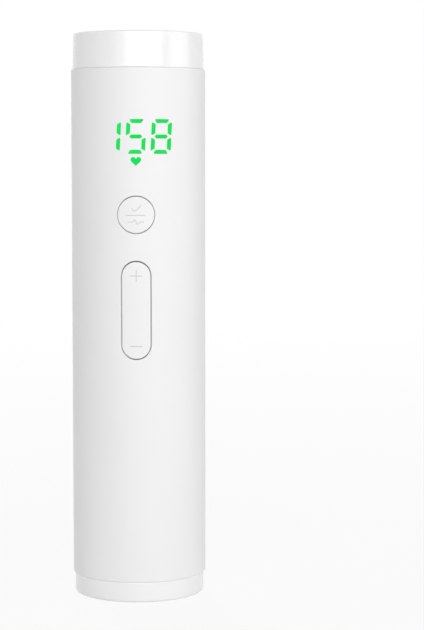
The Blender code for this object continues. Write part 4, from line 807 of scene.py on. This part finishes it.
def turning_steps(tree):
    """The section turned about the upright axis."""
    sides = tree.size("Sides")
    points = tree.size("Points")
    sheet = tree.add(
        "GeometryNodeMeshGrid",
        inputs={"Size X": sides, "Size Y": points - 1, "Vertices X": sides + 1, "Vertices Y": points},
    )
    x, y, z = tree.xyz(tree.add("GeometryNodeInputPosition"))
    column = tree.sum("ROUND", x + sides / 2)
    row = tree.sum("ROUND", y + (points - 1) / 2)
    section = tree.add(
        "GeometryNodeSampleIndex",
        {"data_type": "FLOAT_VECTOR", "domain": "POINT"},
        {"Geometry": tree.given, "Value": tree.add("GeometryNodeInputPosition"), "Index": row},
    )
    reach, flat, height = tree.xyz(section)
    angle = column / sides * (2 * math.pi)
    place = tree.add(
        "ShaderNodeCombineXYZ",
        inputs={0: reach * tree.sum("COSINE", angle), 1: reach * tree.sum("SINE", angle), 2: height},
    )
    turned = tree.add("GeometryNodeSetPosition", inputs={"Geometry": sheet, "Position": place})
    return tree.add("GeometryNodeMergeByDistance", inputs={"Geometry": turned, "Distance": 0.0002 * MM})


def turning_tree():
    tree = GeometryTree("turned_section", {"Sides": "Int", "Points": "Int"})
    return tree.close(turning_steps(tree))


def grille_tree():
    """A turned cap whose flat top has rings of countersunk holes."""
    sizes = {"Sides": "Int", "Points": "Int", "Pitch": "Float", "Hole": "Float", "Flare": "Float", "Top": "Float"}
    tree = GeometryTree("cap_with_grille", sizes)
    cap = turning_steps(tree)
    places = [tree.add("GeometryNodeMeshLine", {"count_mode": "TOTAL"}, {"Count": 1})]
    for ring in (1, 2):
        circle = {"Vertices": 6 * ring, "Radius": tree.size("Pitch") * ring}
        places.append(tree.add("GeometryNodeMeshCircle", inputs=circle))
    joined = tree.add("GeometryNodeJoinGeometry").socket.node
    for place in places:
        tree.tree.links.new(place.socket, joined.inputs[0])
    spots = Value(tree, joined.outputs[0])
    lift = tree.add("ShaderNodeCombineXYZ", inputs={2: tree.size("Top")})
    raised = tree.add("GeometryNodeSetPosition", inputs={"Geometry": spots, "Offset": lift})
    hole = tree.size("Hole")
    flare = tree.size("Flare")
    bore = tree.add("GeometryNodeMeshCylinder", inputs={"Vertices": 24, "Radius": hole, "Depth": 12 * MM})
    sink = tree.add(
        "GeometryNodeMeshCone",
        inputs={"Vertices": 24, "Radius Top": hole + flare * 2, "Radius Bottom": hole - flare, "Depth": flare * 3},
    )
    drop = tree.add("ShaderNodeCombineXYZ", inputs={2: flare * -2})
    sink = tree.add("GeometryNodeTransform", inputs={"Geometry": sink, "Translation": drop})
    for cutter in (bore, sink):
        cutters = tree.add("GeometryNodeInstanceOnPoints", inputs={"Points": raised, "Instance": cutter})
        real = tree.add("GeometryNodeRealizeInstances", inputs={0: cutters})
        settings = {"operation": "DIFFERENCE", "solver": "MANIFOLD"}
        cap = tree.add("GeometryNodeMeshBoolean", settings, {"Mesh 1": cap, "Mesh 2": real})
    return tree.close(cap)


def spring_tree():
    """A cone-shaped coil of round wire."""
    sizes = {"Turns": "Float", "Foot": "Float", "Head": "Float", "Height": "Float", "Wire": "Float", "Place": "Vector"}
    tree = GeometryTree("coil_of_wire", sizes)
    coil = tree.add(
        "GeometryNodeCurveSpiral",
        inputs={
            "Resolution": 40,
            "Rotations": tree.size("Turns"),
            "Start Radius": tree.size("Foot"),
            "End Radius": tree.size("Head"),
            "Height": tree.size("Height"),
        },
    )
    section = tree.add("GeometryNodeCurvePrimitiveCircle", inputs={"Resolution": 12, "Radius": tree.size("Wire")})
    tube = tree.add("GeometryNodeCurveToMesh", inputs={"Curve": coil, "Profile Curve": section, "Fill Caps": True})
    moved = tree.add("GeometryNodeTransform", inputs={"Geometry": tube, "Translation": tree.size("Place")})
    return tree.close(moved)


def legend_tree():
    """Flat strokes of the front view printed on the round body."""
    sizes = {"Width": "Float", "Radius": "Float", "Flatness": "Float"}
    tree = GeometryTree("printed_strokes", sizes)
    fine = tree.add("GeometryNodeResampleCurve", {"mode": "LENGTH"}, {"Curve": tree.given, "Length": 0.25 * MM})
    section = tree.add("GeometryNodeCurvePrimitiveCircle", inputs={"Resolution": 8, "Radius": tree.size("Width") / 2})
    strokes = tree.add("GeometryNodeCurveToMesh", inputs={"Curve": fine, "Profile Curve": section, "Fill Caps": True})
    x, y, z = tree.xyz(tree.add("GeometryNodeInputPosition"))
    reach = tree.size("Radius") - y * tree.size("Flatness")
    depth = tree.sum("SQRT", reach * reach - x * x)
    place = tree.add("ShaderNodeCombineXYZ", inputs={0: x, 1: 0.0 - depth, 2: z})
    return tree.close(tree.add("GeometryNodeSetPosition", inputs={"Geometry": strokes, "Position": place}))


def eased(corners, closed=False):
    """A section of (reach, height, rounding) corners with each rounding drawn as an arc between two close points."""
    count = len(corners)
    found = []
    for i, (reach, height, rounding) in enumerate(corners):
        here = Vector((reach, height))
        if not rounding or (not closed and i in (0, count - 1)):
            found.append(here)
            continue
        back = Vector(corners[i - 1][:2]) - here
        on = Vector(corners[(i + 1) % count][:2]) - here
        half = back.angle(on) / 2
        run = rounding / math.tan(half)
        a = back.normalized()
        b = on.normalized()
        middle = here + (a + b).normalized() * (rounding / math.sin(half))
        found.append(here + a * (run + 0.25 * rounding))
        start = here + a * run - middle
        sweep = math.pi - 2 * half
        turn = math.copysign(sweep, start.x * (b * run - a * run).y - start.y * (b * run - a * run).x)
        for k in range(ROUND_STEPS + 1):
            angle = turn * k / ROUND_STEPS
            spin = Matrix.Rotation(angle, 2)
            found.append(middle + spin @ start)
        found.append(here + b * (run + 0.25 * rounding))
    return found


def section_mesh(points, closed=False):
    if closed:
        points = [*points, points[0]]
    data = bpy.data.meshes.new("section")
    edges = [(i, i + 1) for i in range(len(points) - 1)]
    data.from_pydata([(p.x, 0.0, p.y) for p in points], edges, [])
    return data, len(points)


def turned_piece(tree, name, corners, finish, closed=False, **sizes):
    data, count = section_mesh(eased(corners, closed), closed)
    return tree.grow(name, data, finish, Sides=TURNED_SIDES, Points=count, **sizes)


# Pieces of the doppler


def dress(piece, body, slot, *nodes):
    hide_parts(*nodes)
    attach(piece, body)


def make_front_shell(finish):
    plate = Plate()
    ok_hole = 2 * OK_LINE_RADIUS + OK_GAP
    rims = [
        HalfRim(BODY_BASE, BODY_TOP, BODY_END_ROUND),
        Rim(rounded_line((0, OK_Z), ok_hole, ok_hole, ok_hole / 2, 16), hole=True),
        Rim(
            rounded_line(
                (0, ROCKER_Z),
                ROCKER_LINE_WIDTH + ROCKER_GAP,
                ROCKER_LINE_LENGTH + ROCKER_GAP,
                (ROCKER_LINE_WIDTH + ROCKER_GAP) / 2,
                14,
            ),
            hole=True,
        ),
    ]
    rims += [Rim(line, hole=True, rounding=0.0) for line in lit_lines(SLOT_ROOM)]
    plate.body(rims, SKIN)
    plate.add_inside("front_shell", TUCK_RADIUS)
    dress(plate.finish("front_cover", finish), "casing", "satin_white", "front_shell")


def make_rear_shell(finish):
    plate = Plate()
    lip = DOOR_LINE_TOP + DOOR_GAP / 2
    rims = [
        HalfRim(BODY_BASE, BODY_TOP, BODY_END_ROUND),
        Rim(door_line(DOOR_GAP / 2), hole=True),
        Rim(
            rounded_line(
                (0, SOCKET_Z), SOCKET_SLOT_WIDTH, SOCKET_SLOT_HEIGHT, SOCKET_SLOT_HEIGHT / 2, 10
            ),
            hole=True,
            rounding=0.2 * MM,
        ),
    ]
    plate.body(rims, SKIN, [scoop_crease(lip)], scoop_spots(lip))
    press_scoop(plate, lip)
    plate.turn_to_rear()
    plate.add_inside("rear_shell", TUCK_RADIUS)
    dress(plate.finish("rear_cover", finish), "casing", "satin_white", "rear_shell")


def notch_drop(x):
    """How far the fingernail notch reaches down from the top of the door, at this place across it."""
    share = min(abs(x) / NOTCH_HALF_WIDTH, 1.0)
    return NOTCH_DROP * (1 - share**NOTCH_FULLNESS)


def door_line(grow):
    """The outline of the door with the notch dipping into its top side."""
    across = DOOR_LINE_WIDTH / 2 - DOOR_CORNER
    up = DOOR_LINE_HEIGHT / 2 - DOOR_CORNER
    middle = DOOR_LINE_TOP - DOOR_LINE_HEIGHT / 2
    top = DOOR_LINE_TOP + grow
    corner = DOOR_CORNER + grow
    spots = arc_spots((across, middle + up), corner, 0, 90, 6)
    for i in range(NOTCH_STEPS + 1):
        x = NOTCH_HALF_WIDTH * (1 - 2 * i / NOTCH_STEPS)
        slope = (notch_drop(x + 0.01 * MM) - notch_drop(x - 0.01 * MM)) / (0.02 * MM)
        spots.append((Vector((x, top - notch_drop(x))), Vector((slope, 1.0)).normalized()))
    spots += arc_spots((-across, middle + up), corner, 90, 180, 6)
    spots += arc_spots((-across, middle - up), corner, 180, 270, 6)
    spots += arc_spots((across, middle - up), corner, 270, 360, 6)
    return divided(spots)


def scoop_crease(top):
    """The straight upper edge of the fingernail scoop in the lip of the shell."""
    turns = [NOTCH_HALF_WIDTH * (2 * i / NOTCH_STEPS - 1) for i in range(NOTCH_STEPS + 1)]
    return [unrolled(on_body(x, top + SCOOP_ABOVE, 0.0)) for x in turns]


def scoop_spots(top):
    """Points inside the scoop, in rows that follow its lower edge."""
    found = []
    for i in range(-15, 16):
        x = NOTCH_HALF_WIDTH * 0.9 * i / 15
        reach = notch_drop(x) + SCOOP_ABOVE - EDGE_ROUND
        found += [unrolled(on_body(x, top + SCOOP_ABOVE - reach * row, 0.0)) for row in SCOOP_ROWS]
    return found


def press_scoop(plate, top):
    """Hollows the fingernail scoop into the lip: steep under its upper edge and deepest at its lower edge."""
    pressed = set()
    for v in plate.mesh.verts:
        reach = math.hypot(v.co.x, v.co.y)
        drop = notch_drop(v.co.x)
        below = top + SCOOP_ABOVE - v.co.z
        if drop <= 0 or not 0.001 * MM < below < drop + 3 * SCOOP_ABOVE or reach < BODY_RADIUS - 2 * EDGE_ROUND:
            continue
        share = min(below / (drop + SCOOP_ABOVE), 1.0)
        depth = SCOOP_DEPTH * math.sqrt(drop / NOTCH_DROP) * share * (2 - share)
        v.co.x *= (reach - depth) / reach
        v.co.y *= (reach - depth) / reach
        pressed.add(v)
    for f in plate.mesh.faces:
        if any(v in pressed for v in f.verts):
            f[plate.kind] = 1


def less_bite(shape, outline):
    """A shape less a prism that stands on an outline of the rear view and runs through its thickness."""
    cutter = bmesh.new()
    near = [cutter.verts.new((x, 0.5 * BODY_RADIUS, z)) for x, z in outline]
    far = [cutter.verts.new((x, 1.1 * BODY_RADIUS, z)) for x, z in outline]
    cutter.faces.new(near)
    cutter.faces.new(far)
    for i in range(len(near)):
        j = (i + 1) % len(near)
        cutter.faces.new((near[i], near[j], far[j], far[i]))
    bmesh.ops.recalc_face_normals(cutter, faces=cutter.faces)
    pair = []
    for name, part in (("whole", shape), ("bite", cutter)):
        data = bpy.data.meshes.new(name)
        part.to_mesh(data)
        part.free()
        pair.append(bpy.data.objects.new(name, data))
        bpy.context.scene.collection.objects.link(pair[-1])
    whole, bite = pair
    step = whole.modifiers.new("bite", "BOOLEAN")
    step.solver = "MANIFOLD"
    step.operation = "DIFFERENCE"
    step.object = bite
    graph = bpy.context.evaluated_depsgraph_get()
    left = bmesh.new()
    left.from_object(whole, graph)
    for spent in pair:
        bpy.data.objects.remove(spent)
    return left


def make_door(finish):
    plate = Plate()
    plate.body([Rim(door_line(-DOOR_GAP / 2), hole=False)], SKIN)
    plate.turn_to_rear()
    low_edge = DOOR_LINE_TOP - DOOR_GAP / 2
    turns = [NOTCH_HALF_WIDTH * (1 - 2 * i / NOTCH_STEPS) for i in range(NOTCH_STEPS + 1)]
    bite = [(x, low_edge - notch_drop(x)) for x in turns]
    bite += [(-NOTCH_HALF_WIDTH, low_edge + 3 * MM), (NOTCH_HALF_WIDTH, low_edge + 3 * MM)]
    plate.add_inside("battery_door", DOOR_TUCK_RADIUS, bite, DOOR_MARGIN)
    dress(plate.finish("door_cover", finish), "door", "satin_white", "battery_door")


def make_ok_button(finish):
    plate = Plate()
    width = 2 * OK_LINE_RADIUS - OK_GAP
    line = rounded_line((0, OK_Z), width, width, width / 2, 16)
    plate.body([Rim(line, hole=False)], BUTTON_SKIN, steps=(WIDE_STEP, WIDE_STEP))
    plate.add_inside("ok_button", BUTTON_TUCK_RADIUS)
    dress(plate.finish("ok_button_cap", finish), "ok_button", "satin_white", "ok_button")


def make_rocker(finish):
    plate = Plate()
    width = ROCKER_LINE_WIDTH - ROCKER_GAP
    length = ROCKER_LINE_LENGTH - ROCKER_GAP
    line = rounded_line((0, ROCKER_Z), width, length, width / 2, 14)
    plate.body([Rim(line, hole=False)], BUTTON_SKIN, steps=(WIDE_STEP, WIDE_STEP))
    plate.add_inside("volume_rocker", BUTTON_TUCK_RADIUS)
    dress(plate.finish("rocker_cap", finish), "rocker", "satin_white", "volume_rocker")


def make_lit_reading(finish):
    plate = Plate()
    for line in lit_lines(0.0):
        pairs = [plate.edge(SunkRim(line), SKIN + 0.3 * MM)]
        steps = (FINE_STEP, FINE_STEP)
        plate.skin([face for face, back in pairs], LIT_SINK, 0, steps=steps)
        plate.skin([back for face, back in pairs], SKIN + 0.3 * MM, 1, steps=steps)
    plate.add_inside("display_light_guide", BODY_RADIUS - SKIN)
    dress(plate.finish("lit_reading", finish), "casing", "lit_green", "display_light_guide")


class SunkRim(Rim):
    """The edge of a lit bar, whose face lies just under the skin."""

    def __init__(self, line):
        super().__init__(line, hole=False, rounding=0.0)

    def ring(self, inset, depth):
        return super().ring(inset, max(depth, LIT_SINK))


def make_caps(finish):
    turning = turning_tree()
    grille = grille_tree()
    ring_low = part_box("front_shell")[1].z + 0.02 * MM
    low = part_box("top_cap")[0].z
    top = TOTAL_HEIGHT
    cap = [
        (0.0, top, 0),
        (18.33 * MM, top, 0.45 * MM),
        (18.58 * MM, ring_low, 0.3 * MM),
        (16.7 * MM, ring_low, 0),
        (16.7 * MM, low, 0.2 * MM),
        (15.1 * MM, low, 0.2 * MM),
        (15.1 * MM, top - 1.6 * MM, 0.3 * MM),
        (0.0, top - 1.6 * MM, 0),
    ]
    sizes = {"Pitch": 4.0 * MM, "Hole": 0.8 * MM, "Flare": 0.12 * MM, "Top": top}
    piece = turned_piece(grille, "speaker_end_cap", cap, finish, **sizes)
    dress(piece, "casing", "gloss_white", "top_cap")
    ring_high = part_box("front_shell")[0].z - 0.02 * MM
    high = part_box("probe_cap")[1].z
    cap = [
        (0.0, 2.0 * MM, 0),
        (14.0 * MM, 2.0 * MM, 0.3 * MM),
        (14.0 * MM, high, 0.2 * MM),
        (16.7 * MM, high, 0.2 * MM),
        (16.7 * MM, 10.8 * MM, 0),
        (15.55 * MM, 10.8 * MM, 0),
        (15.55 * MM, 9.2 * MM, 0),
        (16.7 * MM, 9.2 * MM, 0),
        (16.7 * MM, ring_high, 0),
        (18.55 * MM, ring_high, 0.3 * MM),
        (18.55 * MM, 0.0, 0.8 * MM),
        (0.0, 0.0, 0),
    ]
    piece = turned_piece(turning, "probe_end_cap", cap, finish)
    dress(piece, "casing", "gloss_white", "probe_cap")
    return turning


def make_cell(turning, finish):
    low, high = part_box("battery_cell")
    radius = (high.x - low.x) / 2
    shoulder = high.z - 1.0 * MM
    section = [
        (0.0, high.z, 0),
        (2.75 * MM, high.z, 0.3 * MM),
        (2.75 * MM, shoulder - 0.25 * MM, 0.2 * MM),
        (5.5 * MM, shoulder - 0.25 * MM, 0.1 * MM),
        (5.6 * MM, shoulder, 0.05 * MM),
        (radius, shoulder, 0.4 * MM),
        (radius, low.z, 0.4 * MM),
        (5.6 * MM, low.z, 0.05 * MM),
        (5.5 * MM, low.z + 0.25 * MM, 0.1 * MM),
        (0.0, low.z + 0.25 * MM, 0),
    ]
    piece = turned_piece(turning, "cell_in_sleeve", section, finish)
    piece.data.transform(Matrix.Translation((0.0, (low.y + high.y) / 2, 0.0)))
    dress(piece, "casing", "cell_jacket", "battery_cell")


def make_spring(finish):
    low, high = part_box("battery_spring")
    wire = 0.35 * MM
    sizes = {
        "Turns": 4.0,
        "Foot": 4.6 * MM,
        "Head": 3.2 * MM,
        "Height": high.z - low.z - 2 * wire,
        "Wire": wire,
        "Place": (0.0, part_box("battery_cell")[0].y + 7.1 * MM, low.z + wire),
    }
    piece = spring_tree().grow("coil_spring", bpy.data.meshes.new("none"), finish, **sizes)
    dress(piece, "casing", "steel", "battery_spring")


# Printed legends, as strokes of the front view


def strokes_curve(strokes):
    data = bpy.data.curves.new("strokes", "CURVE")
    data.dimensions = "3D"
    for stroke in strokes:
        line = data.splines.new("POLY")
        line.points.add(len(stroke) - 1)
        for point, (x, z) in zip(line.points, stroke):
            point.co = (x * MM, 0.0, z * MM, 1.0)
    return data


def make_legends(finish):
    ok = OK_Z / MM
    rocker = ROCKER_Z / MM
    socket = SOCKET_Z / MM
    tree = legend_tree()
    fine = 0.24 * MM
    legends = {
        "ok_marks": (
            "ok_button",
            False,
            [
                [(-2.9, ok - 0.16), (2.7, ok - 0.16)],
                [(-1.25, ok + 1.75), (-0.35, ok + 0.9), (1.45, ok + 2.6)],
                [(-2.2, ok - 2.0), (-0.9, ok - 2.0), (-0.35, ok - 1.2), (0.4, ok - 2.75), (0.9, ok - 2.0), (2.2, ok - 2.0)],
            ],
        ),
        "plus_and_minus": (
            "rocker",
            False,
            [
                [(-1.75, rocker + 9.56), (1.75, rocker + 9.56)],
                [(0.0, rocker + 7.9), (0.0, rocker + 9.42)],
                [(0.0, rocker + 9.7), (0.0, rocker + 11.22)],
                [(-1.75, rocker - 9.95), (1.75, rocker - 9.95)],
            ],
        ),
        "charging_mark": (
            "casing",
            True,
            [
                [(-2.3, socket + 3.95), (2.3, socket + 3.95)],
                [(-2.3, socket + 3.15), (-1.3, socket + 3.15)],
                [(-0.5, socket + 3.15), (0.5, socket + 3.15)],
                [(1.3, socket + 3.15), (2.3, socket + 3.15)],
            ],
        ),
        "door_marks": (
            "door",
            True,
            [
                [(-2.2, 122.36), (2.2, 122.36)],
                [(-3.0, 117.55), (0.0, 119.3), (3.0, 117.55)],
            ],
        ),
    }
    for name, (body, rear, strokes) in legends.items():
        sizes = {"Width": fine, "Radius": BODY_RADIUS - 0.003 * MM, "Flatness": 0.08}
        piece = tree.grow(name, strokes_curve(strokes), finish, **sizes)
        if rear:
            piece.data.transform(Matrix.Rotation(math.pi, 4, "Z"))
        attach(piece, body)


# Stage, lamps and camera


def camera_sees(tree):
    """One for rays that show the background: to the camera, in gloss and through glass."""
    path = tree.add("ShaderNodeLightPath")
    seen = path + path.part("Is Glossy Ray") + path.part("Is Transmission Ray")
    return tree.sum("MINIMUM", seen, 1.0)


def make_stage(backdrop, ambient):
    world = bpy.data.worlds.new("studio")
    bpy.context.scene.world = world
    world.use_nodes = True
    world.node_tree.nodes.clear()
    tree = NodeTree(world.node_tree)
    seen = tree.add("ShaderNodeBackground", inputs={"Color": grey(backdrop), "Strength": 1.0})
    light = tree.add("ShaderNodeBackground", inputs={"Color": grey(1.0), "Strength": ambient})
    mixed = tree.add("ShaderNodeMixShader", inputs={0: camera_sees(tree), 1: light, 2: seen})
    tree.add("ShaderNodeOutputWorld", inputs={"Surface": mixed})

    data = bpy.data.meshes.new("studio_floor")
    sides = 96
    reach = 9.0
    ring = [(reach * math.cos(2 * math.pi * i / sides), reach * math.sin(2 * math.pi * i / sides), 0.0) for i in range(sides)]
    data.from_pydata(ring, [], [list(range(sides))])
    finish = bpy.data.materials.new("studio_floor")
    finish.use_nodes = True
    finish.node_tree.nodes.clear()
    tree = NodeTree(finish.node_tree)
    cloud = tree.noise(tree.spot(), 3.0, 2.0)
    paint = tree.blend(cloud, grey(0.79), grey(0.81))
    matte = tree.add("ShaderNodeBsdfDiffuse", inputs={"Color": paint})
    glow = tree.add("ShaderNodeEmission", inputs={"Color": grey(backdrop), "Strength": 1.0})
    x, y, z = tree.xyz(tree.spot())
    reach = tree.sum("MINIMUM", tree.sum("SQRT", x * x + y * y) * 1.1, 1.0)
    share = camera_sees(tree) * (0.88 + 0.12 * reach)
    mixed = tree.add("ShaderNodeMixShader", inputs={0: share, 1: matte, 2: glow})
    tree.add("ShaderNodeOutputMaterial", inputs={"Surface": mixed})
    data.materials.append(finish)
    floor = bpy.data.objects.new("studio_floor", data)
    bpy.context.scene.collection.objects.link(floor)


def make_softbox(name, azimuth, power, width, height=1.2, distance=1.8, lift=0.63):
    """A large soft lamp. Azimuth 0 is on the camera's side and 90 on its right."""
    data = bpy.data.lights.new(name, "AREA")
    data.shape = "RECTANGLE"
    data.size = width
    data.size_y = height
    data.energy = power
    lamp = bpy.data.objects.new(name, data)
    bpy.context.scene.collection.objects.link(lamp)
    angle = math.radians(azimuth)
    lamp.location = (distance * math.sin(angle), -distance * math.cos(angle), lift)
    aim = Vector((0.0, 0.0, TOTAL_HEIGHT / 2)) - lamp.location
    lamp.rotation_mode = "QUATERNION"
    lamp.rotation_quaternion = aim.to_track_quat("-Z", "Y")
    lamp.visible_camera = False
    lamp.visible_glossy = abs(azimuth) < 90


def make_camera():
    data = bpy.data.cameras.new("photo_camera")
    data.sensor_width = 36.0
    data.lens = 109.65
    camera = bpy.data.objects.new("photo_camera", data)
    bpy.context.scene.collection.objects.link(camera)
    camera.location = (0.02092, -0.54748, 0.12428)
    camera.rotation_euler = (math.radians(85.311), 0.0, 0.0)
    bpy.context.scene.camera = camera


def paint_inner_nodes(finishes):
    """Gives every CAD node that still shows the finish of its slot."""
    for part in frame["record"]["subparts"]:
        item = frame["nodes"][part["node"]]
        if item.hide_render:
            continue
        finish = OWN_FINISH.get(part["node"], part["material_slot"])
        for slot in item.material_slots:
            slot.material = finishes[finish]


def main():
    bpy.context.scene.view_settings.view_transform = "Standard"
    make_camera()
    finishes = make_finishes()
    make_front_shell(finishes["satin_white"])
    make_rear_shell(finishes["satin_white"])
    make_door(finishes["satin_white"])
    make_ok_button(finishes["satin_white"])
    make_rocker(finishes["satin_white"])
    make_lit_reading(finishes["lit_green"])
    turning = make_caps(finishes["gloss_white"])
    make_cell(turning, finishes["cell_jacket"])
    make_spring(finishes["steel"])
    make_legends(finishes["legend_ink"])
    paint_inner_nodes(finishes)
    make_stage(1.0, 0.345)
    make_softbox("front_softbox", 12.0, 15.8, 2.3)
    make_softbox("front_fill", -10.0, 6.2, 2.0)
    make_softbox("right_fill", 80.0, 6.8, 1.4)
    make_softbox("rear_softbox", 194.0, 20.0, 1.0)
    make_softbox("rear_fill", 244.0, 3.2, 2.1)


main()
